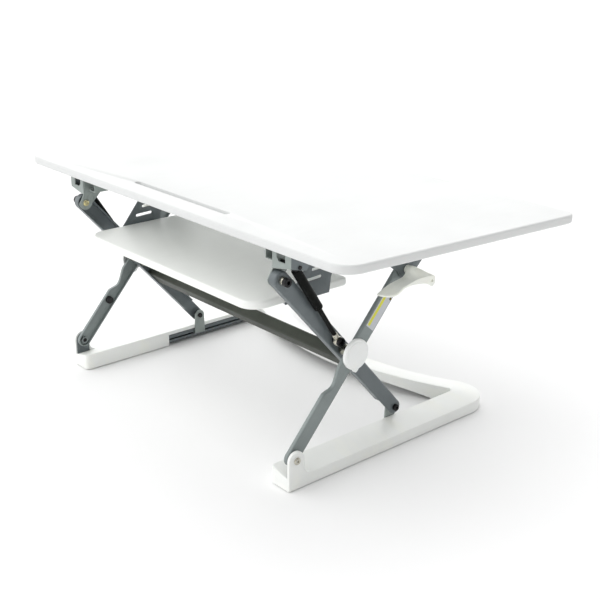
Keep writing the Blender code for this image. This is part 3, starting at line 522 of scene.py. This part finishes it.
def refine(node, material, width):
    """The CAD piece with its edges rounded."""
    bm = bmesh.new()
    bm.from_mesh(frame["nodes"][node].data)
    return add_piece(node + "_piece", soften(bm, width), material, node)


def repaint(piece, material, chosen):
    """Gives a second material to the faces that are chosen."""
    piece.data.materials.append(material)
    for face in piece.data.polygons:
        if chosen(face):
            face.material_index = 1


def both(make, name, material, sharp=38):
    """The piece on the right side and its mirror image on the left."""
    for side in ("right", "left"):
        bm = make()
        node = name + "_" + side
        add_piece(node + "_piece", bm if side == "right" else mirrored(bm), material, node, sharp=sharp)


def board(level_low, level_high, corners, edge):
    """A board with rounded corners and rounded edges; corners are (u, v, radius)."""
    edge_steps, corner_steps = 6, 12
    centre = Vector((sum(c[0] for c in corners), sum(c[1] for c in corners))) / len(corners)
    bm = bmesh.new()
    rings = []
    for level, shrink in edge_levels(level_low, level_high, edge, edge_steps):
        outline = rounded([(u + math.copysign(shrink, centre.x - u), v + math.copysign(shrink, centre.y - v),
                            radius - shrink) for u, v, radius in corners], corner_steps)
        rings.append([bm.verts.new((*p, level)) for p in outline])
    return closed(bm, rings)


def desktop():
    """Board that is wider at the back, with a groove for a tablet near its front edge."""
    front_half, rear_half, rear_y = 0.555, 0.6025, DESK_FRONT + 0.590
    front_corner, rear_corner = 0.045, 0.028
    corners = [(-front_half, DESK_FRONT, front_corner), (front_half, DESK_FRONT, front_corner),
               (rear_half, rear_y, rear_corner), (-rear_half, rear_y, rear_corner)]
    top = board(DESK_UNDER, DESK_TOP, corners, 0.0045)
    groove_half, groove_y = 0.158, -0.252
    groove_section = ((0.002, 0.0098), (0.0, 0.0085), (-0.0006, 0.0075), (-0.0015, 0.0070), (-0.0070, 0.0066),
                      (-0.0078, 0.0058), (-0.0080, 0.0048))
    groove = bmesh.new()
    rings = []
    for level, half_width in groove_section:
        outline = oblong((-groove_half, groove_y), (groove_half, groove_y), half_width)
        rings.append([groove.verts.new((*p, DESK_TOP + level)) for p in outline])
    return cut(top, closed(groove, rings))


def tray():
    low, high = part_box("keyboard_tray")
    front_corner, rear_corner = 0.040, 0.008
    return board(low.z, high.z, [(low.x, low.y, front_corner), (high.x, low.y, front_corner),
                                 (high.x, high.y, rear_corner), (low.x, high.y, rear_corner)], 0.0055)


# the base covers: x of a foot's sides, y of its front end and of the base's rear; y of the rear bar's edges in the
# middle, and their bow; the wall, the height at the outer edge and the rise from there to the inner edge; the arch
# under the rear bar
FOOT_IN, FOOT_OUT, FOOT_FRONT, BASE_REAR = 0.349, 0.4065, -0.3005, 0.306
BAR_FRONT, BAR_REAR, BAR_BOW = 0.157, 0.229, 0.64
COVER_SHEET, COVER_HEIGHT, COVER_RISE = 0.0022, 0.027, 0.013
ARCH_HEIGHT, ARCH_HALF = 0.017, 0.320


def bar_edges(x):
    """y of the rear bar's front and rear edges."""
    return (BAR_FRONT + BAR_BOW * x * x, BAR_REAR + BAR_BOW * x * x)


def cover_sections():
    """Pairs of outer and inner points along the right half of the base."""
    outer_radius, inner_radius = 0.070, 0.012
    outer_corner = (FOOT_OUT - outer_radius, BASE_REAR - outer_radius)
    inner_corner = (FOOT_IN - inner_radius, bar_edges(FOOT_IN)[0] - inner_radius)
    pairs = [((FOOT_OUT, y), (FOOT_IN, y)) for y in (FOOT_FRONT, 0.0, inner_corner[1] - 0.005)]
    turn_steps, outer_sweep, inner_sweep = 20, 112, 66
    pairs += zip(arc(outer_corner, outer_radius, 0, outer_sweep, turn_steps),
                 arc(inner_corner, inner_radius, 0, inner_sweep, turn_steps))
    (rear_x, rear_y), (front_x, front_y) = pairs[-1]
    rear_lift, front_lift = rear_y - bar_edges(rear_x)[1], front_y - bar_edges(front_x)[0]
    steps = 22
    for i in range(1, steps + 1):
        done = i / steps
        at_rear, at_front = (x * (1 - done) + GAP / 2 * done for x in (rear_x, front_x))
        pairs.append(((at_rear, bar_edges(at_rear)[1] + rear_lift * (at_rear / rear_x) ** 4),
                      (at_front, bar_edges(at_front)[0] + front_lift * (at_front / front_x) ** 4)))
    return pairs


def cover_solid(margin, drop):
    """A solid along the base with rounded top edges and front end: the cover, or with a margin its hollow."""
    bm = bmesh.new()
    rings = []
    corner_radius, foot_height, low_corner = 0.011, 0.002, 0.0003
    edge, corner = (0.0020, corner_radius) if not margin else (0.0012, corner_radius - COVER_SHEET)
    front, top = FOOT_FRONT + margin, COVER_HEIGHT - margin

    def ring(outer, inner, shrink=0.0, inner_shift=0.0):
        run = Vector(inner) - Vector(outer)
        along_run = run.normalized()
        near, far = margin + shrink, run.length - margin - max(shrink, inner_shift)
        on_bar = inner[1] > 0.1
        arch = ARCH_HEIGHT * (1 - min(1.0, abs(inner[0]) / ARCH_HALF) ** 4) if on_bar else 0
        low = -drop if drop else foot_height + arch
        slope = COVER_RISE / run.length
        corners = [(near, low, low_corner), (near, top + slope * near - shrink, edge),
                   (far, top + slope * far - shrink, edge), (far, low, low_corner)]
        rings.append([bm.verts.new((*(Vector(outer) + along_run * s), z)) for s, z in rounded(corners, 5)])

    pairs = cover_sections()
    for part in (0, 0.02, 0.08, 0.18, 0.3, 0.45, 0.7, 1.0):
        reach = corner * part
        shift = corner - math.sqrt(corner ** 2 - (corner - reach) ** 2)
        shrink = edge - math.sqrt(edge ** 2 - (edge - reach) ** 2) if reach < edge and not margin else 0
        ring((FOOT_OUT, front + reach), (FOOT_IN, front + reach), shrink, shift)
    for outer, inner in pairs[1:]:
        ring(outer, inner)
    if margin:
        past_middle = 0.01
        for vert in rings[-1]:
            vert.co.x -= past_middle
    return closed(bm, rings)


def base_cover():
    """Moulded cover with the pivot's ear, open underneath."""
    shell = cut(cover_solid(0, 0), cover_solid(COVER_SHEET, 0.01))
    u, v = LOW_PIVOT
    radius, fillet, ear_low, ring_radius = 0.0195, 0.016, 0.014, 0.0125
    lug_in, lug_out = 0.3962, 0.3998
    face = FOOT_OUT + 0.0002
    ear = [(u - radius, ear_low), (u + radius + fillet, ear_low), (u + radius + fillet, COVER_HEIGHT)]
    ear += arc((u + radius + fillet, v - 0.019), fillet, 268, 180, 12)
    ear += arc((u, v), radius, 0, 180, 36)
    shell = join(shell, rounded_plate("X", lug_out, face, ear, edge=0.0012, steps=4))
    ring = [(FOOT_OUT - 0.001, 0), (FOOT_OUT - 0.001, ring_radius), (face, ring_radius), (face, 0)]
    shell = join(shell, turned(eased(ring), (0, u, v)))
    hole = drill(0.3960, 0.41, BOLT_HOLE, (0, u, v))
    lug_slot = box(lug_in, lug_out, FOOT_FRONT + COVER_SHEET + GAP, u + 0.0175, 0.006, 0.06)
    carriage_window = box(FOOT_IN - 0.0035, FOOT_IN + COVER_SHEET + 0.0002, -0.062, 0.2115, -0.01, 0.031)
    return cut(shell, hole, lug_slot, carriage_window)


def outer_arm_outline():
    """Straight arm with round ends and a smooth dip in its front edge, between the distances low and high."""
    half = ARM_END_RADIUS
    tilt = math.degrees(math.atan2(ARM_RISE, ARM_RUN))
    points = (arc(LOW_PIVOT, half, tilt + 90, tilt + 270, 24)
              + arc(HIGH_CARRIAGE, half, tilt - 90, tilt + 90, 24))
    low, deep, high, depth, steps = 0.132, 0.160, 0.204, 0.0125, 34
    for i in range(steps + 1):
        distance = high + (low - high) * i / steps
        share = (high - distance) / (high - deep) if distance > deep else (distance - low) / (deep - low)
        points.append(along(LOW_PIVOT, HIGH_CARRIAGE, distance, half - depth * share * share * (3 - 2 * share)))
    return points


def inner_arm_outline():
    """Arm that narrows a little towards its lower end."""
    half, taper = ARM_END_RADIUS, 0.001
    tilt = math.degrees(math.atan2(-ARM_RISE, ARM_RUN))
    return (arc(HIGH_PIVOT, half + taper, tilt + 90, tilt + 270, 26)
            + arc(LOW_CARRIAGE, half - taper, tilt - 90, tilt + 90, 24))


def pressed(outline, holes, web, rim):
    """A channel pressed from sheet, with a bend radius between its web and its rim."""
    bm = bmesh.new()
    sign = 1 if web > rim else -1
    bend, inner_bend, steps = 0.0032, 0.0008, 5
    chamfer, lip = 0.0003, 0.0004
    outer_rings = [(rim, chamfer), (rim + sign * chamfer, 0)]
    inner_rings = [(rim, SHEET - chamfer), (rim + sign * chamfer, SHEET)]
    for k in range(steps + 1):
        a = math.pi / 2 * k / steps
        outer_rings.append((web - sign * bend * (1 - math.sin(a)), bend * (1 - math.cos(a))))
        inner_rings.append((web - sign * (SHEET + inner_bend * (1 - math.sin(a))),
                            SHEET + inner_bend * (1 - math.cos(a))))

    def ring(level, shrink):
        return [bm.verts.new(to_space("X", level, p)) for p in (inset(outline, shrink) if shrink else outline)]

    outer = [ring(*entry) for entry in outer_rings]
    inner = [ring(*entry) for entry in inner_rings]
    hole_rings = []
    for hole in holes:
        loops = [(web, -lip), (web - sign * lip, 0), (web - sign * (SHEET - lip), 0),
                 (web - sign * SHEET, -lip)]
        hole_rings.append([[bm.verts.new(to_space("X", level, p)) for p in (inset(hole, s) if s else hole)]
                           for level, s in loops])
    for chain in (outer, inner, *hole_rings):
        skin(bm, chain)
    walls(bm, outer[0], inner[0])
    fill(bm, [outer[-1], *(rings[0] for rings in hole_rings)])
    fill(bm, [inner[-1], *(rings[-1] for rings in hole_rings)])
    bmesh.ops.recalc_face_normals(bm, faces=bm.faces)
    return bm


def outer_arm():
    holes = [circle(LOW_PIVOT, BOLT_HOLE), circle(HUB, HUB_HOLE), circle(HIGH_CARRIAGE, BOLT_HOLE)]
    return pressed(outer_arm_outline(), holes, OUTER_WEB, OUTER_RIM)


SPRING_LOW = along(HUB, HIGH_PIVOT, 0.034, 0.0)


def inner_arm():
    """The channel's rim stops before the lower end, where the carriage needs the room."""
    holes = [circle(HIGH_PIVOT, BOLT_HOLE), circle(SPRING_LOW, PIN_HOLE), circle(HUB, HUB_HOLE),
             circle(LOW_CARRIAGE, PIN_HOLE)]
    arm = pressed(inner_arm_outline(), holes, INNER_WEB, INNER_RIM)
    start, end, half_width = 0.425, 0.53, 0.03
    flat_end = [along(HIGH_PIVOT, LOW_CARRIAGE, s, t)
                for s, t in ((start, -half_width), (end, -half_width), (end, half_width), (start, half_width))]
    tool = rounded_plate("X", INNER_RIM - 0.002, INNER_WEB - SHEET - 0.0009, flat_end, edge=CRISP, steps=1)
    return cut(arm, tool)


def hub_cap():
    """Round domed cap, hollow at the back, with a stepped rim and a small pointed tab below."""
    back, radius = OUTER_WEB + GAP, 0.032
    rim, rim_rounding, rim_steps = back + 0.0042, 0.0034, 6
    dome_top, dome_fall, dome_radius, dome_steps = back + 0.0105, 0.0029, radius - 0.0062, 8
    profile = [(back + 0.0065, 0), (back + 0.0065, radius - 0.006), (back + 0.004, radius - 0.0025),
               (back, radius - 0.0025), (back, radius - 0.0004), (back + 0.0004, radius), (rim, radius)]
    for k in range(1, rim_steps + 1):
        a = math.pi / 2 * k / rim_steps
        profile.append((rim + rim_rounding * math.sin(a), radius - rim_rounding * (1 - math.cos(a))))
    profile += [(back + 0.0072, radius - 0.0048), (back + 0.0073, radius - 0.0056)]
    for k in range(dome_steps + 1):
        r = dome_radius * (1 - k / dome_steps)
        profile.append((dome_top - dome_fall * (r / radius) ** 2, r))
    cap = turned(profile, (0, *HUB), segments=72)
    u, v = HUB
    root, shoulder, tip = v - radius + 0.003, v - radius - 0.0035, v - radius - 0.0058
    tab = [(u + 0.009, root), (u - 0.009, root), (u - 0.0045, shoulder), (u - 0.0015, tip), (u + 0.0015, tip),
           (u + 0.0045, shoulder)]
    return join(cap, rounded_plate("X", back, back + 0.0045, list(reversed(tab)), edge=0.0007))


# the handle's outline: (y, z) from the pivot at the knuckle, then at the outer edge
HANDLE_SECTION = (
    ((-0.0885, -0.0332), (-0.0745, -0.0336)), ((-0.0750, -0.0297), (-0.0640, -0.0300)),
    ((-0.0560, -0.0230), (-0.0510, -0.0235)), ((-0.0360, -0.0195), (-0.0390, -0.0200)),
    ((-0.0150, -0.0180), (-0.0230, -0.0190)), ((0.0000, -0.0170), (-0.0030, -0.0212)),
    ((0.0080, -0.0165), (0.0120, -0.0237)), ((0.0140, -0.0150), (0.0240, -0.0285)),
    ((0.0180, -0.0120), (0.0320, -0.0335)), ((0.0200, -0.0080), (0.0400, -0.0310)),
    ((0.0195, -0.0030), (0.0430, -0.0220)), ((0.0150, 0.0025), (0.0400, -0.0130)),
    ((0.0080, 0.0070), (0.0300, -0.0105)), ((0.0000, 0.0090), (0.0110, -0.0088)),
    ((-0.0070, 0.0065), (-0.0010, -0.0086)), ((-0.0120, -0.0020), (-0.0120, -0.0097)),
    ((-0.0200, -0.0095), (-0.0230, -0.0118)), ((-0.0360, -0.0128), (-0.0370, -0.0145)),
    ((-0.0550, -0.0160), (-0.0510, -0.0180)), ((-0.0740, -0.0225), (-0.0620, -0.0237)),
    ((-0.0885, -0.0288), (-0.0745, -0.0291)), ((-0.0900, -0.0310), (-0.0760, -0.0313)))
HANDLE_IN, HANDLE_KNUCKLE, HANDLE_OUT = 0.4085, 0.4150, 0.4400


def release_handle():
    """A paddle that flows from the knuckle to its outer edge, with a rounded front corner and a hooked tail."""
    u, v = HANDLE_PIVOT
    edge, steps, spans, corner = 0.0010, 4, 14, 0.012
    between = [HANDLE_IN + edge + (HANDLE_OUT - HANDLE_IN - 2 * edge) * k / spans for k in range(1, spans)]
    bm = bmesh.new()
    rings = []
    for x, shrink in edge_levels(HANDLE_IN, HANDLE_OUT, edge, steps, between):
        share = max(0.0, (x - HANDLE_KNUCKLE) / (HANDLE_OUT - HANDLE_KNUCKLE))
        share = 0.5 * share + 0.5 * share * share * (3 - 2 * share)
        round_off = corner - math.sqrt(max(0.0, corner ** 2 - max(0.0, x - HANDLE_OUT + corner) ** 2))
        points = []
        for (y_in, z_in), (y_out, z_out) in HANDLE_SECTION:
            y, z = y_in + (y_out - y_in) * share, z_in + (z_out - z_in) * share
            reach = min(1.0, max(0.0, (-0.040 - y) / 0.035))
            points.append((u + y + round_off * reach, v + z + 0.4 * round_off * reach))
        loop = smooth_loop(points)
        rings.append([bm.verts.new((x, *p)) for p in (inset(loop, shrink) if shrink else loop)])
    skin(bm, rings)
    fill(bm, [rings[0]])
    fill(bm, [rings[-1]])
    # the walls are slightly twisted, and only flat faces give the same Boolean each run
    bmesh.ops.triangulate(bm, faces=bm.faces)
    bmesh.ops.recalc_face_normals(bm, faces=bm.faces)
    boss_in, boss_out, boss_radius = 0.4008, 0.4105, 0.0088
    boss = turned(eased([(boss_in, 0), (boss_in, boss_radius), (boss_out, boss_radius), (boss_out, 0)], 0.001),
                  (0, u, v), segments=56)
    bore = drill(0.3990, 0.4190, PIN_HOLE, (0, u, v))
    tail_hole = drill(0.4300, 0.45, 0.0032, (0, u + 0.0330, v - 0.0220))
    return cut(join(bm, boss), bore, tail_hole)


def socket(centre, level, depth, radius):
    """A hexagonal recess in a bolt's head."""
    return rounded_plate("X", level - depth, level + 0.002, circle(centre, radius, 6), edge=CRISP, steps=1)


def front_bolt():
    """Bright button-head bolt through the cover's ear and the outer arm."""
    start, head, shank, radius = 0.3875, FOOT_OUT + 2 * GAP, 0.005, 0.0075
    end = head + 0.0035
    profile = [(start, 0), (start, shank), (head, shank), (head, radius), (head + 0.0020, radius), (end, 0.0056),
               (end, 0)]
    return cut(turned(eased(profile), (0, *LOW_PIVOT)), socket(LOW_PIVOT, end, 0.0022, 0.0024))


def high_bolt():
    """Black socket-head bolt at the upper end of the inner arm."""
    start, head, shank, radius = 0.3386, 0.3705, 0.005, 0.0090
    end = head + 0.0100
    profile = [(start, 0), (start, shank), (head, shank), (head, radius), (head + 0.0090, radius), (end, 0.0080),
               (end, 0)]
    return cut(turned(eased(profile), (0, *HIGH_PIVOT)), socket(HIGH_PIVOT, end, 0.0050, 0.0046))


def pivot_spacer():
    """Bright spacer sleeve between the inner arm and the bolt's head."""
    inside, outside, radius = INNER_WEB + GAP, 0.3703, 0.0085
    sleeve = turned(eased([(inside, 0), (inside, radius), (outside, radius), (outside, 0)]), (0, *HIGH_PIVOT))
    return cut(sleeve, drill(0.36, 0.372, 0.0052, (0, *HIGH_PIVOT)))


def pivot_button():
    """Yellow-plated button on the inner end of the upper bolt."""
    crown, base, radius = 0.3347, 0.3382, 0.0075
    return turned(eased([(crown, 0), (crown, 0.0040), (crown + 0.0009, 0.0062), (crown + 0.0022, radius),
                         (base, radius), (base, 0)]), (0, *HIGH_PIVOT))


def spring_bolt():
    """Black bolt with its nut inside the inner arm; the rod's eye is between its collar and its head."""
    web_in, web_out, shank = 0.3587, 0.3623, 0.004
    eye_in, eye_out, head_end = SPRING_X - 0.0050 - GAP, SPRING_X + 0.0050 + GAP, 0.3828
    profile = [(0.3565, 0), (0.3565, 0.0068), (web_in, 0.0068), (web_in, shank), (web_out, shank),
               (web_out, 0.0075), (eye_in, 0.0075), (eye_in, shank), (eye_out, shank), (eye_out, 0.0098),
               (0.3818, 0.0098), (head_end, 0.0088), (head_end, 0)]
    return cut(turned(eased(profile), (0, *SPRING_LOW)), socket(SPRING_LOW, head_end, 0.0035, 0.0046))


def low_pin():
    """Black pin through the lower carriage and the inner arm's web."""
    inside, web_in, head, shank = 0.3445, 0.3587, 0.3623, 0.004
    profile = [(inside - 0.004, 0), (inside - 0.004, 0.006), (inside, 0.006), (inside, shank), (0.3486, shank),
               (0.3486, 0.007), (web_in, 0.007), (web_in, shank), (head, shank), (head, 0.0075),
               (head + 0.0050, 0.0075), (head + 0.0060, 0.0065), (head + 0.0060, 0)]
    return cut(turned(eased(profile), (0, *LOW_CARRIAGE)), socket(LOW_CARRIAGE, head + 0.0060, 0.0030, 0.0036))


def spring_axis():
    """Direction from the rod's eye to the cylinder's."""
    aim = (Vector(SPRING_TOP) - Vector(SPRING_LOW)).normalized()
    return (0, aim.x, aim.y)


def spring_rod():
    start, end, radius = 0.004, 0.131, 0.0048
    return turned(eased([(start, 0), (start, radius), (end, radius), (end, 0)]), (SPRING_X, *SPRING_LOW),
                  spring_axis(), 32)


EYE_BORE = (0.36, 0.39)


def rod_eye():
    """Bright eyelet that is screwed on the rod's end."""
    centre = (SPRING_X, *SPRING_LOW)
    inside, outside, radius = SPRING_X - 0.0046, SPRING_X + 0.0046, 0.0100
    eye = turned(eased([(inside, 0), (inside, radius), (outside, radius), (outside, 0)]), (0, *SPRING_LOW))
    collar = turned(eased([(0.008, 0), (0.008, 0.0045), (0.0115, 0.0061), (0.0200, 0.0061), (0.0215, 0.0052),
                           (0.0215, 0)]), centre, spring_axis(), 32)
    return cut(join(eye, collar), drill(*EYE_BORE, PIN_HOLE, (0, *SPRING_LOW)))


def cylinder():
    """Pressure tube with a rolled groove near its lower end, bored for the rod."""
    centre, down = (SPRING_X, *SPRING_TOP), tuple(-c for c in spring_axis())
    start, end, radius, groove = 0.012, 0.1205, 0.0095, 0.0091
    profile = [(start, 0), (start, 0.0088), (0.0135, radius), (end - 0.0135, radius), (end - 0.0127, groove),
               (end - 0.0115, groove), (end - 0.0107, radius), (end - 0.0035, radius), (end - 0.0008, 0.0078),
               (end, 0.0072), (end, 0)]
    tube = turned(eased(profile, 0.0006), centre, down, 48)
    return cut(tube, drill(0.045, end + 0.01, 0.0051, centre, down, 32))


def cylinder_eye():
    """Black eye with a short neck on the cylinder's upper end."""
    centre, down = (SPRING_X, *SPRING_TOP), tuple(-c for c in spring_axis())
    neck = turned(eased([(0.005, 0), (0.005, 0.0062), (0.0118, 0.0080), (0.0118, 0)]), centre, down)
    inside, outside, radius = SPRING_X - 0.005, SPRING_X + 0.005, 0.0098
    eye = turned(eased([(inside, 0), (inside, radius), (outside, radius), (outside, 0)]), (0, *SPRING_TOP))
    return cut(join(eye, neck), drill(*EYE_BORE, 0.0072, (0, *SPRING_TOP)))


PAD_X, PAD_FRONT_Y, PAD_REAR_Y = 0.366, -0.272, 0.235


def foot_pad(y):
    """Rubber foot with a ringed sole."""
    sole, radius, top = 0.0008, 0.0120, 0.0077
    profile = [(sole, 0), (sole, 0.0030), (0, 0.0034), (0, 0.0066), (sole, 0.0070), (sole, 0.0082), (0, 0.0086),
               (0, 0.0105), (0.0015, radius), (top, radius), (top, 0)]
    return turned(eased(profile, 0.0003), (PAD_X, y, 0), (0, 0, 1), 48)


def pan_screw(x, y, level):
    """Pan-head screw seen from below, with a cross recess."""
    radius, height, half_length, half_width, recess = 0.0034, 0.0017, 0.0016, 0.00035, 0.0009
    profile = [(0, 0), (0, radius * 0.72), (height * 0.55, radius), (height, radius), (height, 0)]
    head = turned(eased(profile, 0.0003), (x, y, level - height), (0, 0, 1), 28)
    for half_x, half_y in ((half_length, half_width), (half_width, half_length)):
        head = cut(head, box(x - half_x, x + half_x, y - half_y, y + half_y, level - height - 0.001,
                             level - height + recess))
    return head


def crossbeam():
    """Rectangular tube with rounded corners, between the inner arms."""
    reach = INNER_WEB - SHEET - GAP
    middle = 0.052

    def section(half_wide, half_thick, radius):
        corners = [(middle - half_wide, -half_thick, radius), (middle + half_wide, -half_thick, radius),
                   (middle + half_wide, half_thick, radius), (middle - half_wide, half_thick, radius)]
        return [along(HUB, LOW_CARRIAGE, s, t) for s, t in rounded(corners, 6)]

    return rounded_plate("X", -reach, reach, section(0.019, 0.013, 0.0035), [section(0.017, 0.011, 0.0015)],
                         edge=0.0002)


LABEL_PLACE = (0.296, 0.385, -0.0128, 0.0125)
STRIPE_PLACE = (0.299, 0.382, 0.0030, 0.0102)


def label_plate(lift, s0, s1, t0, t1):
    """A thin sticker on the outer arm: s along the arm, t across it."""
    corner, film = 0.0012, 0.00015
    corners = [(s0, t0, corner), (s1, t0, corner), (s1, t1, corner), (s0, t1, corner)]
    outline = [along(LOW_PIVOT, HIGH_CARRIAGE, s, t) for s, t in rounded(corners, 4)]
    return rounded_plate("X", OUTER_WEB + lift, OUTER_WEB + lift + film, outline, edge=0.00005, steps=1)


def rail_strip(low, high):
    """Strip that narrows the base rail's mouth to the slot that the carriage's tongue runs in."""
    inside = FOOT_IN + COVER_SHEET + GAP
    thickness, front, rear = 0.0018, -0.2915, 0.2515
    return box(inside, inside + thickness, front, rear, low, high)


def arm_screw():
    """Small domed screw at the upper corner of the label."""
    base, place = OUTER_WEB + GAP, along(LOW_PIVOT, HIGH_CARRIAGE, 0.3690, -0.0098)
    return turned(eased([(base, 0), (base, 0.0030), (base + 0.0006, 0.0028), (base + 0.0011, 0.0012),
                         (base + 0.0011, 0)], 0.0002), (0, *place))


# the CAD pieces that only get rounded edges, except that the hinge bracket's outer faces also get the darker
# blue-grey as painted shade: (name, material, edge), one on each side
REFINED = (("base_rail", STEEL_BLUE, 0.0004), ("front_pivot_nut", GREY, 0.0004), ("arm_bumper", RUBBER, 0.0006),
           ("upper_carriage_pin", BRIGHT, 0.0004), ("upper_carriage", STEEL_BLUE, 0.0005),
           ("handle_screw", BRIGHT, 0.0003), ("upper_glide", NYLON, 0.0008), ("hub_pin", PLAIN, 0.0004),
           ("lower_carriage", LIGHT, 0.0005), ("lower_glide", NYLON, 0.0008), ("top_rail", LIGHT, 0.0005),
           ("hinge_bracket", LIGHT, 0.0006), ("spring_top_pin", BLACK, 0.0004),
           ("tray_hanger", STEEL_BLUE, 0.0004))
BRACKET_OUTSIDE, BOLT_INSIDE = 0.385, 0.392
RAIL_MOUTH = (("lower", 0.0132, 0.0151), ("upper", 0.0194, 0.0238))
HANGER_SCREW_X, HANGER_SCREW_Y = 0.284, (-0.097, -0.073)


# outer faces of the hinge bracket, which get the darker blue-grey as painted shade
def painted_shade_on_bracket_outside(face):
    return abs(face.normal.x) > 0.9 and abs(face.center.x) > BRACKET_OUTSIDE


def inner_end_of_bolt(face):
    return abs(face.center.x) < BOLT_INSIDE


def make_object():
    add_piece("desktop_piece", desktop(), BOARD, "desktop")
    add_piece("keyboard_tray_piece", tray(), TRAY, "keyboard_tray")
    add_piece("crossbeam_piece", crossbeam(), OLIVE_PAINTED_SHADE, "crossbeam")
    refine("base_crossbar", DARK, 0.0008)
    both(base_cover, "base_cover", PLASTIC, 30)
    both(outer_arm, "outer_arm", GREY)
    both(inner_arm, "inner_arm", STEEL_BLUE)
    both(hub_cap, "hub_cap", CAP, 50)
    both(release_handle, "release_handle", LEVER, 50)
    both(front_bolt, "front_pivot_bolt", BRIGHT)
    both(high_bolt, "desktop_pivot_bolt", BLACK)
    both(spring_bolt, "spring_bolt", BLACK)
    both(low_pin, "lower_carriage_pin", BLACK)
    both(spring_rod, "spring_rod", SLEEVE)
    both(cylinder, "spring_cylinder", TUBE)
    both(lambda: foot_pad(PAD_FRONT_Y), "front_foot_pad", RUBBER)
    both(lambda: foot_pad(PAD_REAR_Y), "rear_foot_pad", RUBBER)
    for side in ("right", "left"):
        for name, material, width in REFINED:
            piece = refine(name + "_" + side, material, width)
            if name == "hinge_bracket":
                # the bracket's outer faces get the darker blue-grey: painted shade
                repaint(piece, STEEL_BLUE, painted_shade_on_bracket_outside)
        repaint(bpy.data.objects["front_pivot_bolt_" + side + "_piece"], BLACK, inner_end_of_bolt)

        def extra(name, bm, material, body):
            """A small piece that the photograph shows and the CAD leaves out."""
            bm = bm if side == "right" else mirrored(bm)
            add_piece(name + "_" + side, bm, material, body=body)

        extra("pivot_spacer", pivot_spacer(), BRIGHT, "top")
        extra("pivot_button", pivot_button(), BRASS, "top")
        extra("rod_eye", rod_eye(), BRIGHT, "spring_rod_" + side)
        extra("cylinder_eye", cylinder_eye(), BLACK, "spring_cylinder_" + side)
        extra("label", label_plate(0.0001, *LABEL_PLACE), LABEL, "outer_arm_" + side)
        extra("label_stripe", label_plate(0.0002, *STRIPE_PLACE), STRIPE, "outer_arm_" + side)
        for name, low, high in RAIL_MOUTH:
            extra("rail_mouth_" + name, rail_strip(low, high), STEEL_BLUE, "base")
        extra("arm_screw", arm_screw(), DARK_BRASS, "outer_arm_" + side)
        for i, y in enumerate(HANGER_SCREW_Y):
            screw = pan_screw(HANGER_SCREW_X, y, DESK_UNDER - GAP - 0.0020)
            extra(f"hanger_top_screw_{i}", screw, BRIGHT, "top")


# ---- camera, floor and light ----
CAMERA_LENS, CAMERA_SENSOR, CAMERA_SHIFT = 64.65, 36, (0.0004, 0.0115)
CAMERA_PLACE = (1.7927, -1.4822, 1.0771)
CAMERA_RIGHT = (0.65430, 0.75620, 0.00672)
CAMERA_UP = (-0.27226, 0.22726, 0.93500)
CAMERA_AHEAD = (-0.70552, 0.61360, -0.35458)
FLOOR_HALF = 60
SKY_SLOPE, SKY_LEVEL = (-0.62, -0.12, -0.22), 1.08


def add_camera():
    data = bpy.data.cameras.new("camera")
    data.sensor_width = CAMERA_SENSOR
    data.lens = CAMERA_LENS
    data.shift_x, data.shift_y = CAMERA_SHIFT
    camera = bpy.data.objects.new("camera", data)
    rotation = Matrix((CAMERA_RIGHT, CAMERA_UP, [-c for c in CAMERA_AHEAD])).transposed()
    camera.matrix_world = Matrix.Translation(CAMERA_PLACE) @ rotation.to_4x4()
    bpy.context.scene.collection.objects.link(camera)
    bpy.context.scene.camera = camera


def add_sun(name, toward, strength, softness):
    """A soft light from the direction it stands in; its softness is its angle in degrees."""
    data = bpy.data.lights.new(name, "SUN")
    data.energy = strength
    data.angle = math.radians(softness)
    light = bpy.data.objects.new(name, data)
    light.rotation_euler = Vector(toward).to_track_quat("Z", "Y").to_euler()
    bpy.context.scene.collection.objects.link(light)


def add_floor():
    mesh = bpy.data.meshes.new("floor")
    corners = [(x * FLOOR_HALF, y * FLOOR_HALF, 0) for x, y in ((-1, -1), (1, -1), (1, 1), (-1, 1))]
    mesh.from_pydata(corners, [], [(0, 1, 2, 3)])
    floor = bpy.data.objects.new("floor", mesh)
    material = bpy.data.materials.new("floor_white")
    material.use_nodes = True
    shader = material.node_tree.nodes["Principled BSDF"]
    shader.inputs["Base Color"].default_value = (0.95, 0.95, 0.95, 1)
    shader.inputs["Roughness"].default_value = 0.9
    shader.inputs["Specular IOR Level"].default_value = 0.1
    mesh.materials.append(material)
    bpy.context.scene.collection.objects.link(floor)


def add_sky():
    """A white sky that grows brighter towards SKY_SLOPE."""
    world = bpy.data.worlds.new("world")
    world.use_nodes = True
    nodes, links = world.node_tree.nodes, world.node_tree.links
    nodes["Background"].inputs["Color"].default_value = (1.0, 1.0, 1.0, 1)
    slope = nodes.new("ShaderNodeVectorMath")
    slope.operation = "DOT_PRODUCT"
    slope.inputs[1].default_value = SKY_SLOPE
    links.new(nodes.new("ShaderNodeTexCoord").outputs["Generated"], slope.inputs[0])
    level = nodes.new("ShaderNodeMath")
    level.operation = "ADD"
    level.inputs[1].default_value = SKY_LEVEL
    links.new(slope.outputs["Value"], level.inputs[0])
    links.new(level.outputs["Value"], nodes["Background"].inputs["Strength"])
    bpy.context.scene.world = world
    bpy.context.scene.view_settings.view_transform = "Standard"


make_object()
add_camera()
add_floor()
add_sky()
add_sun("key", (-0.25, -0.50, 0.83), 0.55, 60)
add_sun("rear", (-0.50, 0.60, 0.62), 0.75, 70)
